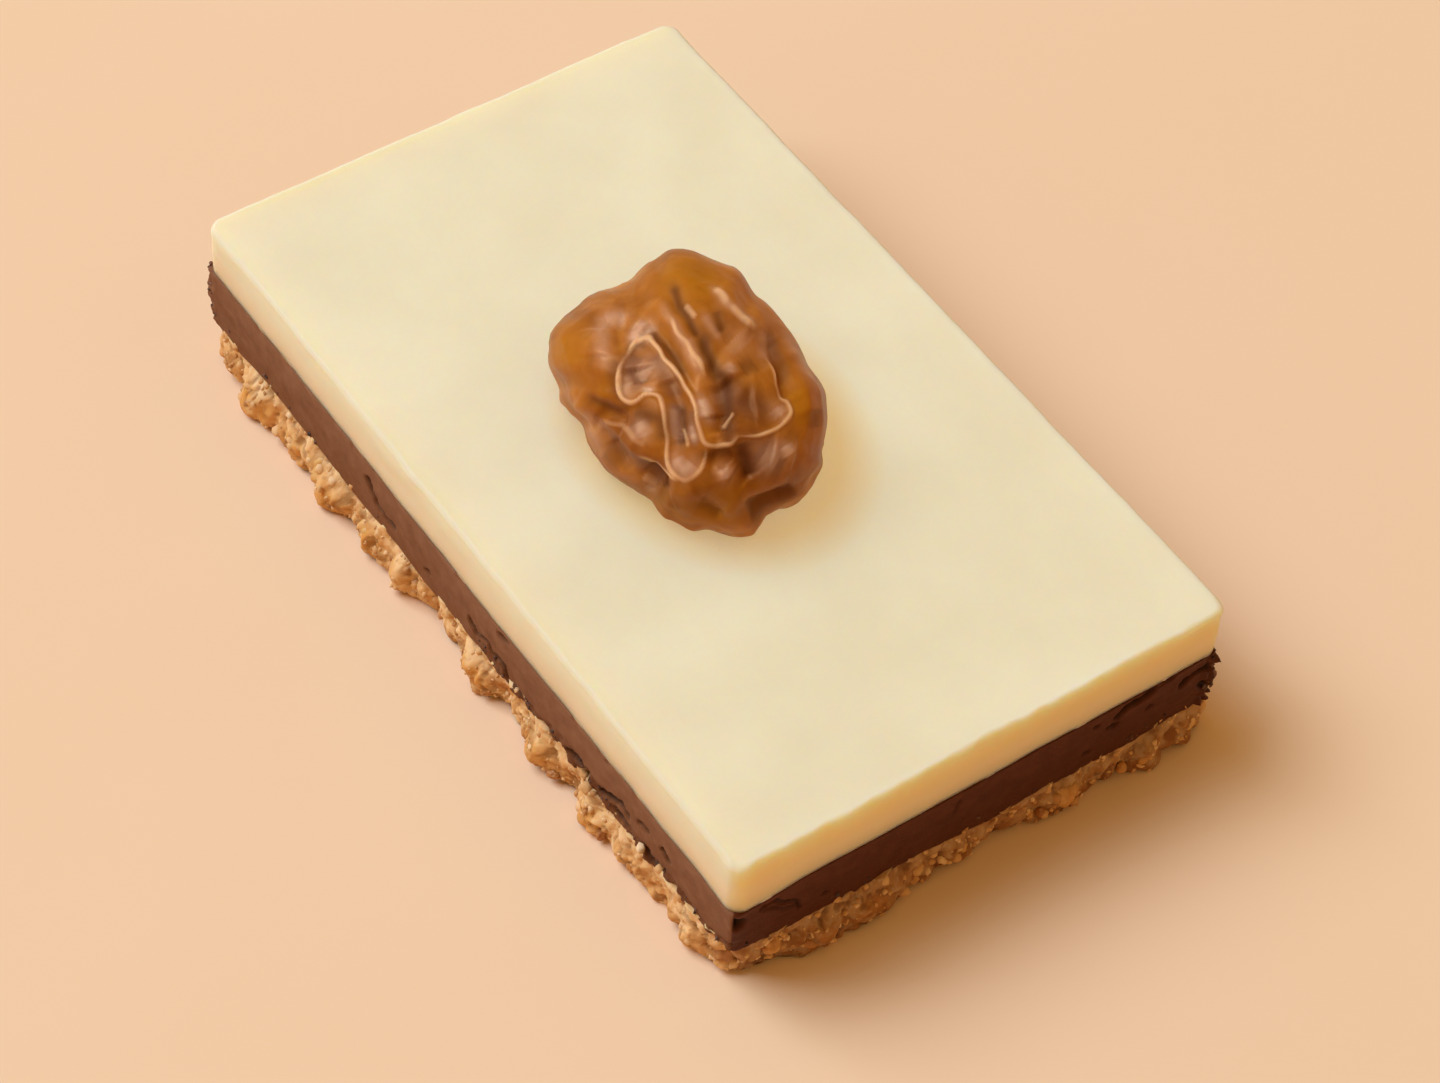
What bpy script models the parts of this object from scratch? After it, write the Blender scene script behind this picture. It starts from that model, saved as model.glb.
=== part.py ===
"""A cut bar of date cheesecake: crumbly biscuit crust, chocolate, pale cheesecake and one whole date on top.

X runs along the bar, Y across it and Z up. The origin is the middle of the flat underside.
"""

import itertools
import math

import bmesh
import bpy
from mathutils import Vector, noise

MILLIMETRE = 0.001

# The bar, in metres
BAR_LENGTH = 0.100
BAR_WIDTH = 0.060
CRUST_TOP = 0.0059
CHOCOLATE_TOP = 0.0138
CREAM_TOP = 0.0200
LAYER_GAP = 0.0003

# Corners between the upright sides, and the soft arris round the top
CRUST_CORNER = 0.0026
CHOCOLATE_CORNER = 0.0008
CREAM_CORNER = 0.0015
CREAM_ARRIS = 0.0011
ARRIS_STEPS = 3
LEVEL = 0.00001

# Faces round each layer, rows of faces up its side, and rings of faces inside its rim
CRUST_FACES = 232
CHOCOLATE_FACES = 156
CREAM_FACES = 84
CRUST_ROWS = 6
CHOCOLATE_ROWS = 4
CREAM_ROWS = 2
RIM_RINGS = (0.0018, 0.0042)
CORNER_WAY = 0.0070

# Lumps and dips at the foot of the crust, in millimetres: place along the side, how far out, half width
FRONT_LUMPS_MM = (
    (-50.0, 0.5, 2.0), (-45.0, 0.5, 2.0), (-38.8, 2.2, 3.2), (-31.0, 1.4, 2.6), (-24.0, 2.1, 3.2),
    (-15.5, 1.6, 2.2), (-10.0, 1.2, 2.0), (-4.5, -0.5, 1.8), (5.3, 1.6, 2.6), (10.2, -0.6, 1.4),
    (17.0, 1.4, 3.0), (22.6, -0.6, 1.2), (26.3, 1.6, 2.2), (32.0, 0.8, 2.0), (35.6, 0.5, 1.6),
    (39.0, -0.4, 1.2), (43.5, 0.6, 2.4), (50.0, -1.4, 2.6),
)  # fmt: skip
RIGHT_LUMPS_MM = (
    (-30.0, -1.2, 3.0), (-19.0, 1.5, 2.8), (-13.5, 1.7, 2.6), (-9.5, 0.8, 2.0), (-1.5, 0.6, 1.4),
    (2.6, -0.8, 1.6), (11.0, 1.4, 3.2), (17.2, 0.2, 1.2), (21.6, 1.6, 2.2), (26.6, 1.0, 2.2),
    (30.0, -0.6, 1.6),
)  # fmt: skip

# The back and the left end bulge in lumps of the same size, with no order to them
LUMP_SIZE = 0.0110
LUMP_HEIGHT = 0.0018
BACK_LEAN = 0.0007
LEFT_LEAN = 0.0004

# Crumbs all over the crust's side, and how its foot is chipped off the table
CRUMB_SIZE = 0.0034
CRUMB_HEIGHT = 0.0009
CRUMB_LEVEL = 0.45
CRUMB_ROUNDING = 1.6
FOOT_CHIP_SIZE = 0.0042
FOOT_LIFT = 0.0008
FOOT_TUCK = 0.0004
BELLY_TOP = 0.55

# Where two layers meet, the line wanders a little near the sides
CRUST_RIPPLE = 0.00045
CHOCOLATE_RIPPLE = 0.00012
RIPPLE_SIZE = 0.0075

# Places where the crust's top lies higher or lower, in millimetres: X, Y, reach, how much higher
CRUST_TOP_SPOTS_MM = ((50.0, -30.0, 5.0, 1.0), (50.0, 30.0, 6.0, -0.7), (-46.0, -30.0, 6.0, -0.6))

# The knife drags the cut sides a little out of flat
CHOCOLATE_DRAG = 0.00018
CREAM_DRAG = 0.00010
DRAG_SIZE = 0.0060

# Torn places and flakes of the chocolate, in millimetres: X, Y, Z, reach, how far it stands out
CHOCOLATE_SPOTS_MM = (
    (50.0, 28.6, 12.6, 2.4, -1.0),
    (50.0, 20.0, 12.2, 3.0, -0.6),
    (50.0, 30.0, 9.4, 2.8, 0.5),
    (50.0, -30.0, 11.4, 1.8, -0.9),
    (30.0, -30.0, 7.2, 3.4, -0.6),
    (8.0, -30.0, 7.0, 4.0, -0.5),
    (-22.0, -30.0, 6.6, 4.0, -0.5),
    (-50.0, -30.0, 10.0, 5.0, 0.5),
    (-50.0, 24.0, 8.0, 3.0, -0.6),
)

# The date lies along the bar, settled on the cheesecake: round above its waist and full below it
DATE_WAIST = Vector((0.0018, -0.0032, 0.0266))
DATE_HALVES = Vector((0.0181, 0.0114, 0.0080))
DATE_UNDER_WAIST = 0.0078
DATE_FULLNESS = 4.0
DATE_DETAIL = 5
POLE = 0.9999

# The point that its outline and folds are measured from
DATE_MIDDLE = Vector((0.0047, -0.0040, 0.0285))

# The date's best side faces this way, and its outline and folds are drawn on that side
FACE_TURN = math.radians(52.0)
FACE_RISE = math.radians(50.5)
FACE_ROLL = math.radians(4.4)
FACE_EDGE = 0.35

# The outline on that side, in millimetres to the right of and above the date's middle
DATE_OUTLINE_MM = (
    (12.6, 0.2), (10.6, 3.8), (8.8, 7.0), (6.0, 10.3), (3.0, 13.0), (-2.5, 14.7), (-4.7, 13.7),
    (-7.1, 11.7), (-11.6, 9.9), (-14.7, 7.0), (-15.0, 4.8), (-13.5, 1.0), (-11.4, -2.9), (-9.7, -6.3),
    (-5.1, -10.1), (-2.9, -12.2), (0.0, -13.1), (4.9, -13.5), (6.8, -11.2), (9.8, -9.8), (12.3, -7.0),
    (12.8, -2.9),
)  # fmt: skip

# Folds on that side, in millimetres: height above the skin, half width, then the line the fold follows
DATE_FOLDS_MM = (
    (0.75, 0.75, ((-7.3, 4.8), (-5.7, 5.7), (-4.4, 5.2), (-1.4, 1.1), (0.4, -2.4), (0.5, -6.1), (-0.9, -8.1))),
    (0.65, 0.75, ((-7.3, 4.8), (-8.1, 2.2), (-6.6, -0.7), (-3.8, -0.3), (-3.1, -4.6), (-2.3, -7.5))),
    (0.70, 0.85, ((-4.2, 9.6), (-2.7, 7.0), (-0.6, 4.1), (0.9, 1.0))),
    (0.60, 1.00, ((1.2, 10.7), (3.2, 8.0), (5.4, 6.3), (5.6, 3.9))),
    (0.70, 0.75, ((6.7, 4.0), (7.8, 1.7), (9.1, -0.9), (8.2, -3.4), (5.1, -3.4), (2.9, -4.8), (0.9, -4.6))),
    (0.60, 0.90, ((6.7, 7.0), (8.8, 3.9), (10.3, 0.6), (11.0, -2.6))),
    (0.60, 1.00, ((-13.2, 1.4), (-11.0, -1.4), (-7.0, -3.9), (-4.6, -6.2), (-2.7, -8.6))),
    (-0.80, 0.75, ((-5.6, 8.2), (-3.1, 4.9), (-1.2, 2.3), (0.5, -0.7))),
    (-0.80, 0.80, ((-2.6, 10.4), (-0.9, 6.8), (0.9, 3.2), (1.6, -1.6))),
    (-0.60, 0.80, ((7.4, 6.0), (8.4, 3.4), (9.6, 0.4))),
    (-0.60, 0.90, ((-10.9, -0.4), (-8.2, -2.2), (-5.4, -4.6))),
    (-0.70, 1.00, ((-6.4, -6.3), (-4.0, -9.2))),
    (-0.60, 1.50, ((2.6, -0.6), (4.6, -1.2), (6.4, -0.6))),
    (-0.60, 1.20, ((1.6, -7.0), (4.6, -8.4), (8.0, -6.6))),
)  # fmt: skip
FOLD_STEPS = 6

# How finely the plain egg's own outline is traced: round it, up it, and in angles of the outline
EGG_TURNS = 480
EGG_RISES = 120
OUTLINE_STEPS = 120

# Smaller wrinkles that run along the date all round it
WRINKLE_LENGTH = 0.0100
WRINKLE_WIDTH = 0.0036
WRINKLE_HEIGHT = 0.0005
WRINKLE_SHARPNESS = 2.6
WRINKLE_WARP = 0.35
FACE_WRINKLES = 0.35

# Edges flatter than this are drawn smooth
SMOOTH_UNDER = math.radians(50.0)

# Colour, roughness and metallic value of each layer, in linear light
FINISHES = {
    "crust": ((0.50, 0.27, 0.11, 1.0), 0.85, 0.0),
    "chocolate_layer": ((0.13, 0.052, 0.022, 1.0), 0.60, 0.0),
    "cheesecake_layer": ((0.84, 0.71, 0.46, 1.0), 0.32, 0.0),
    "date": ((0.36, 0.13, 0.026, 1.0), 0.22, 0.0),
}


def clear_scene():
    """Removes what the startup file holds."""
    for thing in list(bpy.data.objects):
        bpy.data.objects.remove(thing, do_unlink=True)


def finish(name):
    """The material that a layer shows."""
    colour, roughness, metallic = FINISHES[name]
    material = bpy.data.materials.new(name)
    material.use_nodes = True
    shader = material.node_tree.nodes["Principled BSDF"]
    shader.inputs["Base Color"].default_value = colour
    shader.inputs["Roughness"].default_value = roughness
    shader.inputs["Metallic"].default_value = metallic
    material.diffuse_color = colour
    return material


def add_object(name, bm, location, base):
    """Turns the shape into a named object at its place on the base, with its own material."""
    bmesh.ops.recalc_face_normals(bm, faces=bm.faces)
    bmesh.ops.translate(bm, verts=bm.verts, vec=-location)
    mesh = bpy.data.meshes.new(name)
    bm.to_mesh(mesh)
    bm.free()
    mesh.materials.append(finish(name))
    mesh.shade_smooth()
    mesh.set_sharp_from_angle(angle=SMOOTH_UNDER)
    thing = bpy.data.objects.new(name, mesh)
    thing.location = location
    thing.parent = base
    base.users_collection[0].objects.link(thing)
    return thing


def smooth(value, low, high):
    """Rises gently from 0 at low to 1 at high."""
    share = min(1.0, max(0.0, (value - low) / (high - low)))
    return share * share * (3.0 - 2.0 * share)


def outline(share, length, width, corner):
    """Place and outward direction, this share of the way round a rectangle from the middle of its +X side."""
    spans = (width - 2 * corner, length - 2 * corner)
    around = 2 * sum(spans) + 4 * CORNER_WAY
    way = (share * around + spans[0] / 2) % around
    for side in range(4):
        run, across = spans[side % 2], spans[(side + 1) % 2]
        facing = side * math.pi / 2
        out = Vector((math.cos(facing), math.sin(facing), 0.0))
        along = Vector((-out.y, out.x, 0.0))
        if way <= run:
            return out * (across / 2 + corner) + along * (way - run / 2), out
        way -= run
        if way <= CORNER_WAY:
            turned = facing + way / CORNER_WAY * math.pi / 2
            bend = Vector((math.cos(turned), math.sin(turned), 0.0))
            return out * across / 2 + along * run / 2 + bend * corner, bend
        way -= CORNER_WAY
    return outline(0.0, length, width, corner)


def crumbs(point, size):
    """From 0 in the cracks between crumbs of about this size to 1 on top of one."""
    nearest, second = noise.voronoi(point / size)[0][:2]
    return min(1.0, CRUMB_ROUNDING * (second - nearest))


def spots_at(place, spots):
    """Sum at a place of spots that each hold a middle, a reach and a height, in metres."""
    total = 0.0
    for *middle, reach, height in spots:
        away = (place / MILLIMETRE - Vector(middle)).length
        total += height * (1.0 - smooth(away, 0.0, reach))
    return total * MILLIMETRE


def inward_fade(depth, inside):
    """1 at the rim, falling to 0 this far inside it."""
    return 1.0 - smooth(depth, 0.0, inside)


def crust_top(place, depth):
    """Height at which the crust meets the chocolate."""
    wander = CRUST_RIPPLE * noise.noise(Vector((place.x, place.y, CRUST_TOP)) / RIPPLE_SIZE)
    wander += spots_at(place.xy, CRUST_TOP_SPOTS_MM)
    return CRUST_TOP + wander * inward_fade(depth, RIM_RINGS[-1])


def chocolate_top(place, depth):
    """Height at which the chocolate meets the cheesecake."""
    wander = CHOCOLATE_RIPPLE * noise.noise(Vector((place.x, place.y, CHOCOLATE_TOP)) / RIPPLE_SIZE)
    return CHOCOLATE_TOP + wander * inward_fade(depth, RIM_RINGS[-1])


def drum(faces, rows):
    """A closed drum of radius 1 and height 1, with rows of faces round it and rings inside both rims."""
    bm = bmesh.new()
    bmesh.ops.create_cone(bm, cap_ends=True, segments=faces, radius1=1, radius2=1, depth=1)
    upright = [edge for edge in bm.edges if abs(edge.verts[0].co.z - edge.verts[1].co.z) > 0.5]
    bmesh.ops.subdivide_edges(bm, edges=upright, cuts=rows - 1)
    inside = 0.0
    for ring in RIM_RINGS:
        ends = [face for face in bm.faces if len(face.verts) == faces]
        bmesh.ops.inset_region(bm, faces=ends, thickness=(ring - inside) / BAR_WIDTH)
        inside = ring
    return bm


def slab(name, faces, rows, corner, place, foot, base):
    """A layer of the bar: a drum whose corners place() sends to the layer's own surface."""
    bm = drum(faces, rows)
    for vertex in bm.verts:
        share = math.atan2(vertex.co.y, vertex.co.x) / (2 * math.pi) % 1.0
        row = vertex.co.z + 0.5
        inside = (1.0 - vertex.co.xy.length) * BAR_WIDTH
        depth = min((0.0, *RIM_RINGS), key=lambda ring: abs(ring - inside))
        rim, out = outline(share, BAR_LENGTH - 2 * depth, BAR_WIDTH - 2 * depth, corner)
        vertex.co = place(rim, out, row, depth)
    return add_object(name, bm, Vector((0.0, 0.0, foot)), base)


def lumps_along(place, lumps):
    """Sum of the lumps and dips of a side at a place along it, in metres."""
    total = 0.0
    for middle, height, half_width in lumps:
        total += height * math.exp(-(((place / MILLIMETRE - middle) / half_width) ** 2))
    return total * MILLIMETRE


def foot_bulge(rim, out):
    """How far the foot of the crust stands out from the bar's side."""
    stray = LUMP_HEIGHT * noise.noise(rim / LUMP_SIZE)
    along_x = lumps_along(rim.x, FRONT_LUMPS_MM) if out.y < 0 else BACK_LEAN + stray
    along_y = lumps_along(rim.y, RIGHT_LUMPS_MM) if out.x > 0 else LEFT_LEAN + stray
    return along_y * out.x**2 + along_x * out.y**2


def place_on_crust(rim, out, row, depth):
    """The crust's ragged side: it bellies out in lumps and crumbs, and its foot is chipped off the table."""
    height = row * crust_top(rim, depth)
    spot = Vector((rim.x, rim.y, height))
    fade = inward_fade(depth, RIM_RINGS[0])
    bulge = foot_bulge(rim, out) * smooth(1.0 - row, 0.0, BELLY_TOP)
    bulge += CRUMB_HEIGHT * (crumbs(spot, CRUMB_SIZE) - CRUMB_LEVEL)
    if row == 0.0:
        height = FOOT_LIFT * fade * crumbs(rim, FOOT_CHIP_SIZE)
        bulge -= FOOT_TUCK
    return Vector((rim.x, rim.y, height)) + out * fade * bulge


def place_on_chocolate(rim, out, row, depth):
    """The chocolate's cut side: nearly flat, dragged by the knife and torn in a few places."""
    bottom = crust_top(rim, depth) + LAYER_GAP
    spot = Vector((rim.x, rim.y, bottom + row * (chocolate_top(rim, depth) - bottom)))
    drag = CHOCOLATE_DRAG * noise.noise(spot / DRAG_SIZE)
    return spot + out * inward_fade(depth, RIM_RINGS[0]) * (drag + spots_at(spot, CHOCOLATE_SPOTS_MM))


def place_on_cream(rim, out, row, depth):
    """The cheesecake's cut side, which is smooth and almost flat."""
    bottom = chocolate_top(rim, depth) + LAYER_GAP
    spot = Vector((rim.x, rim.y, bottom + row * (CREAM_TOP - bottom)))
    drag = CREAM_DRAG * noise.noise(spot / DRAG_SIZE)
    return spot + out * inward_fade(depth, RIM_RINGS[0]) * drag


def make_crust(base):
    slab("crust", CRUST_FACES, CRUST_ROWS, CRUST_CORNER, place_on_crust, 0.0, base)


def make_chocolate(base):
    slab(
        "chocolate_layer",
        CHOCOLATE_FACES,
        CHOCOLATE_ROWS,
        CHOCOLATE_CORNER,
        place_on_chocolate,
        CRUST_TOP,
        base,
    )


def on_top_rim(corner):
    """Whether a corner of the cheesecake's mesh lies on the rim round its top."""
    inside = max(abs(corner.x) - BAR_LENGTH / 2, abs(corner.y) - BAR_WIDTH / 2)
    return corner.z > CREAM_TOP - CHOCOLATE_TOP - LEVEL and inside > -RIM_RINGS[0] / 2


def make_cream(base):
    """The pale layer, with the arris round its top rolled over."""
    thing = slab(
        "cheesecake_layer", CREAM_FACES, CREAM_ROWS, CREAM_CORNER, place_on_cream, CHOCOLATE_TOP, base
    )
    weights = thing.data.attributes.new("bevel_weight_edge", "FLOAT", "EDGE")
    for edge in thing.data.edges:
        ends = [thing.data.vertices[index].co for index in edge.vertices]
        weights.data[edge.index].value = float(all(on_top_rim(end) for end in ends))
    arris = thing.modifiers.new("arris", "BEVEL")
    arris.limit_method = "WEIGHT"
    arris.width = CREAM_ARRIS
    arris.segments = ARRIS_STEPS


def face_axes():
    """Right, up and outward directions of the date's best side."""
    level = math.cos(FACE_RISE)
    outward = Vector((math.sin(FACE_TURN) * level, -math.cos(FACE_TURN) * level, math.sin(FACE_RISE)))
    right = Vector((0.0, 0.0, 1.0)).cross(outward).normalized()
    up = outward.cross(right)
    c, s = math.cos(FACE_ROLL), math.sin(FACE_ROLL)
    return right * c + up * s, up * c - right * s, outward


def outline_radius(angle):
    """Distance from the date's middle to its outline on the best side, at an angle, in metres."""
    spokes = sorted((math.atan2(v, u), math.hypot(u, v) * MILLIMETRE) for u, v in DATE_OUTLINE_MM)
    turn = 2 * math.pi
    spokes = [(spokes[-1][0] - turn, spokes[-1][1]), *spokes, (spokes[0][0] + turn, spokes[0][1])]
    for (low, near), (high, far) in zip(spokes, spokes[1:]):
        if low <= angle <= high:
            return near + (far - near) * smooth(angle, low, high)
    return spokes[0][1]


def resting_egg(direction):
    """Place on the plain egg in a direction from its waist's middle, and the egg's outward direction there."""
    halves = DATE_HALVES.copy()
    if direction.z < 0.0:
        halves.z = DATE_UNDER_WAIST
    low = min(POLE, max(0.0, -direction.z))
    fuller = (1.0 - low**DATE_FULLNESS) ** (1.0 / DATE_FULLNESS) / math.sqrt(1.0 - low * low)
    place = direction * halves
    normal = Vector([direction[i] / halves[i] for i in range(3)]).normalized()
    return DATE_WAIST + Vector((place.x * fuller, place.y * fuller, place.z)), normal


def egg_outline(right, up):
    """Distances from the date's middle to the plain egg's outline on the best side, at equal steps of angle."""
    reach = [0.0] * OUTLINE_STEPS
    for turn, rise in itertools.product(range(EGG_TURNS), range(EGG_RISES)):
        around = 2 * math.pi * turn / EGG_TURNS
        above = math.pi * (rise / EGG_RISES - 0.5)
        level = math.cos(above)
        direction = Vector((math.cos(around) * level, math.sin(around) * level, math.sin(above)))
        place = resting_egg(direction)[0]
        place.z = max(place.z, CREAM_TOP)
        u, v = (place - DATE_MIDDLE).dot(right), (place - DATE_MIDDLE).dot(up)
        step = round(math.atan2(v, u) / (2 * math.pi) * OUTLINE_STEPS) % OUTLINE_STEPS
        reach[step] = max(reach[step], math.hypot(u, v))
    return reach


def egg_radius(angle, reach):
    """The plain egg's distance at any angle."""
    way = angle / (2 * math.pi) * OUTLINE_STEPS % OUTLINE_STEPS
    step = int(way)
    near, far = reach[step % OUTLINE_STEPS], reach[(step + 1) % OUTLINE_STEPS]
    return near + (far - near) * (way - step)


def curve_through(points):
    """Points close together on a smooth curve through the given ones."""
    last = len(points) - 1
    line = []
    for i in range(last):
        a, b, c, d = (Vector(points[max(0, min(last, j))]) for j in (i - 1, i, i + 1, i + 2))
        for step in range(FOLD_STEPS):
            t = step / FOLD_STEPS
            bend = (2 * a - 5 * b + 4 * c - d) * t * t + (3 * b - a - 3 * c + d) * t**3
            line.append(b + ((c - a) * t + bend) / 2)
    return [*line, Vector(points[-1])]


def distance_to(line, spot):
    """Shortest distance from a spot to a run of short straight pieces."""
    best = math.inf
    for a, b in zip(line, line[1:]):
        run = b - a
        t = min(1.0, max(0.0, (spot - a).dot(run) / run.length_squared))
        best = min(best, (a + run * t - spot).length)
    return best


def fold_height(spot, folds):
    """Sum of the drawn folds at a spot of the best side, in metres."""
    total = 0.0
    for height, half_width, line in folds:
        total += height * math.exp(-((distance_to(line, spot) / half_width) ** 2))
    return total * MILLIMETRE


def wrinkle_height(place):
    """Fine wrinkles that run along the date."""
    warp = noise.noise_vector(place / WRINKLE_LENGTH) * WRINKLE_WARP
    spot = Vector((place.x / WRINKLE_LENGTH, place.y / WRINKLE_WIDTH, place.z / WRINKLE_WIDTH))
    return WRINKLE_HEIGHT * (1.0 - WRINKLE_SHARPNESS * abs(noise.noise(spot + warp)))


def make_date(base):
    """The date: an egg pulled to its outline, with the folds of its skin, lying on the cheesecake."""
    right, up, outward = face_axes()
    folds = [(height, width, curve_through(points)) for height, width, points in DATE_FOLDS_MM]
    reach = egg_outline(right, up)
    rest = CREAM_TOP + LAYER_GAP - DATE_MIDDLE.z
    bm = bmesh.new()
    bmesh.ops.create_icosphere(bm, subdivisions=DATE_DETAIL, radius=1.0)
    for vertex in bm.verts:
        egg, normal = resting_egg(vertex.co.normalized())
        egg -= DATE_MIDDLE
        flat = Vector((egg.dot(right), egg.dot(up)))
        angle = math.atan2(flat.y, flat.x)
        flat *= outline_radius(angle) / egg_radius(angle, reach)
        facing = smooth(normal.dot(outward), 0.0, FACE_EDGE)
        skin = facing * fold_height(flat / MILLIMETRE, folds)
        skin += wrinkle_height(egg) * (1.0 - (1.0 - FACE_WRINKLES) * facing)
        place = right * flat.x + up * flat.y + outward * egg.dot(outward) + normal * skin
        place.z = max(place.z, rest)
        vertex.co = place + DATE_MIDDLE
    add_object("date", bm, DATE_MIDDLE, base)


def make_base():
    """The point under the middle of the bar that every layer is placed from."""
    bar = bpy.data.collections.new("date_cheesecake")
    bpy.context.scene.collection.children.link(bar)
    base = bpy.data.objects.new("bar_base", None)
    bar.objects.link(base)
    return base


def main():
    clear_scene()
    base = make_base()
    make_crust(base)
    make_chocolate(base)
    make_cream(base)
    make_date(base)


main()
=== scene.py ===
"""Looks of the date cheesecake bar: crumbly crust, torn chocolate, smooth cheesecake and a glossy wrinkled date."""

import itertools
import math

import bmesh
import bpy
import numpy as np
from mathutils import Matrix, Vector, noise


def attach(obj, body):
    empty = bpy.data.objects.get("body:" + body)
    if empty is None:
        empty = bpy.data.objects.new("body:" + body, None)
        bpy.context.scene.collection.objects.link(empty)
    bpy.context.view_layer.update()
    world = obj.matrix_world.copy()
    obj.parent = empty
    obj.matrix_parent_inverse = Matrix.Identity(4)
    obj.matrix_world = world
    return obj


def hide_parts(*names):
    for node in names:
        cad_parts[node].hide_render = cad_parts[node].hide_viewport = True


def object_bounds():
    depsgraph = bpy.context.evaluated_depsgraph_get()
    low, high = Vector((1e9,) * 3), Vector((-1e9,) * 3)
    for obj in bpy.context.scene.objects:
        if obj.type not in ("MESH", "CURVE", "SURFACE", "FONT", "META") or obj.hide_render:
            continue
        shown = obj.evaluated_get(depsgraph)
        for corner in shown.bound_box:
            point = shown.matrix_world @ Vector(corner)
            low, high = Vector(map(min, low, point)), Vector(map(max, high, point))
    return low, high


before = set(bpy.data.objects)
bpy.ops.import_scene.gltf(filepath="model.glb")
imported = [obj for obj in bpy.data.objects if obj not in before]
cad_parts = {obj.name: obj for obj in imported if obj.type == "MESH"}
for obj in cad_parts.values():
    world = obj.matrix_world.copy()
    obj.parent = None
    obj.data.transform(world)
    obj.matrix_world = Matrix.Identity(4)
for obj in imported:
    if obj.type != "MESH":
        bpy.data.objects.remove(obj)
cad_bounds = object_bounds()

MM = 0.001

# The bar's sizes, the same as the solids'
BAR_LENGTH = 0.100
BAR_WIDTH = 0.060
CRUST_TOP = 0.0059
CHOCOLATE_TOP = 0.0138
CREAM_TOP = 0.0200
CRUST_CORNER = 0.0026
CHOCOLATE_CORNER = 0.0008
CREAM_CORNER = 0.0017
SEAM_DROP = 0.00055

FRONT_LUMPS_MM = (
    (-50.0, 0.5, 2.0), (-45.0, 0.5, 2.0), (-38.8, 2.2, 3.2), (-31.0, 1.4, 2.6), (-24.0, 2.1, 3.2),
    (-15.5, 1.6, 2.2), (-10.0, 1.2, 2.0), (-4.5, -0.5, 1.8), (5.3, 1.6, 2.6), (10.2, -0.6, 1.4),
    (17.0, 1.4, 3.0), (22.6, -0.6, 1.2), (26.3, 1.6, 2.2), (32.0, 0.8, 2.0), (35.6, 0.5, 1.6),
    (39.0, -0.4, 1.2), (43.5, 0.6, 2.4), (50.0, -1.4, 2.6),
)  # fmt: skip
RIGHT_LUMPS_MM = (
    (-30.0, -1.2, 3.0), (-19.0, 1.5, 2.8), (-13.5, 1.7, 2.6), (-9.5, 0.8, 2.0), (-1.5, 0.6, 1.4),
    (2.6, -0.8, 1.6), (11.0, 1.4, 3.2), (17.2, 0.2, 1.2), (21.6, 1.6, 2.2), (26.6, 1.0, 2.2),
    (30.0, -0.6, 1.6),
)  # fmt: skip
LUMP_SIZE = 0.0110
LUMP_HEIGHT = 0.0018
BACK_LEAN = 0.0007
LEFT_LEAN = 0.0004
CRUMB_SIZE = 0.0034
CRUMB_HEIGHT = 0.0009
CRUMB_LEVEL = 0.45
CRUMB_ROUNDING = 1.6
BELLY_TOP = 0.55
CRUST_RIPPLE = 0.00045
CHOCOLATE_RIPPLE = 0.00012
RIPPLE_SIZE = 0.0075
CRUST_TOP_SPOTS_MM = (
    (50.0, -30.0, 5.0, 1.0), (50.0, 30.0, 6.0, -0.7), (-46.0, -30.0, 6.0, -0.6), (50.0, 6.0, 14.0, -0.4),
    (50.0, 17.0, 12.0, -0.55), (31.0, -30.0, 16.0, -0.55),
)  # fmt: skip

# Cracks and pits of the chocolate in millimetres: half width, depth, then a line of places along the side and heights
FRONT_TEARS_MM = (
    (0.35, 0.6, ((-17.2, 10.6), (-16.2, 9.1), (-14.6, 8.1), (-12.9, 7.8), (-11.9, 8.0))),
    (0.30, 0.8, ((2.7, 8.6), (4.0, 7.5), (6.2, 8.0), (7.5, 7.4), (9.3, 7.5), (10.3, 6.3), (12.8, 6.3))),
    (0.30, 0.4, ((8.3, 11.8), (9.8, 12.1))),
    (0.35, 0.7, ((20.8, 6.4), (22.3, 6.9), (24.1, 7.3), (24.8, 7.3))),
    (0.55, 0.7, ((22.9, 5.6), (24.9, 6.3))),
    (0.40, 0.9, ((26.9, 6.5), (28.9, 7.9), (31.0, 8.7), (31.9, 8.4))),
    (0.60, 0.7, ((29.6, 6.2), (31.2, 6.5))),
    (0.30, 0.6, ((34.2, 9.7), (35.6, 9.8))),
    (0.35, 0.9, ((38.0, 9.7), (38.9, 9.1))),
    (0.50, 0.8, ((35.1, 6.4), (36.8, 6.0), (38.2, 6.2))),
    (0.25, 0.5, ((28.0, 13.2), (29.2, 13.3))),
    (0.20, 0.4, ((-5.6, 7.4), (-5.0, 7.6))),
)  # fmt: skip
RIGHT_TEARS_MM = (
    (0.50, 1.1, ((17.3, 11.3), (18.0, 12.0), (19.6, 11.9), (21.3, 12.3))),
    (0.30, 0.7, ((22.6, 12.7), (23.8, 12.6))),
    (0.45, 1.2, ((25.6, 10.6), (26.8, 11.2), (28.1, 11.5))),
    (0.35, 0.7, ((14.2, 11.4), (14.5, 11.3))),
    (0.30, 0.6, ((16.0, 9.9), (16.9, 9.7))),
    (0.30, 0.6, ((13.3, 7.5), (13.6, 7.4))),
    (0.25, 0.4, ((21.1, 9.7), (21.5, 9.6))),
    (0.45, 0.8, ((28.2, 9.0), (28.8, 8.2), (29.9, 7.4))),
    (0.22, 0.5, ((-26.6, 11.6), (-25.7, 11.9), (-24.0, 11.0), (-22.3, 9.4), (-21.9, 8.3))),
    (0.18, 0.3, ((-26.2, 11.2), (-24.4, 10.0), (-22.8, 8.9))),
    (0.25, 0.4, ((-18.9, 8.4), (-18.6, 8.3))),
    (0.75, 1.1, ((-30.0, 11.4), (-29.3, 11.0))),
    (0.20, 0.3, ((-3.2, 9.9), (-2.8, 11.4))),
)  # fmt: skip

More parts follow.
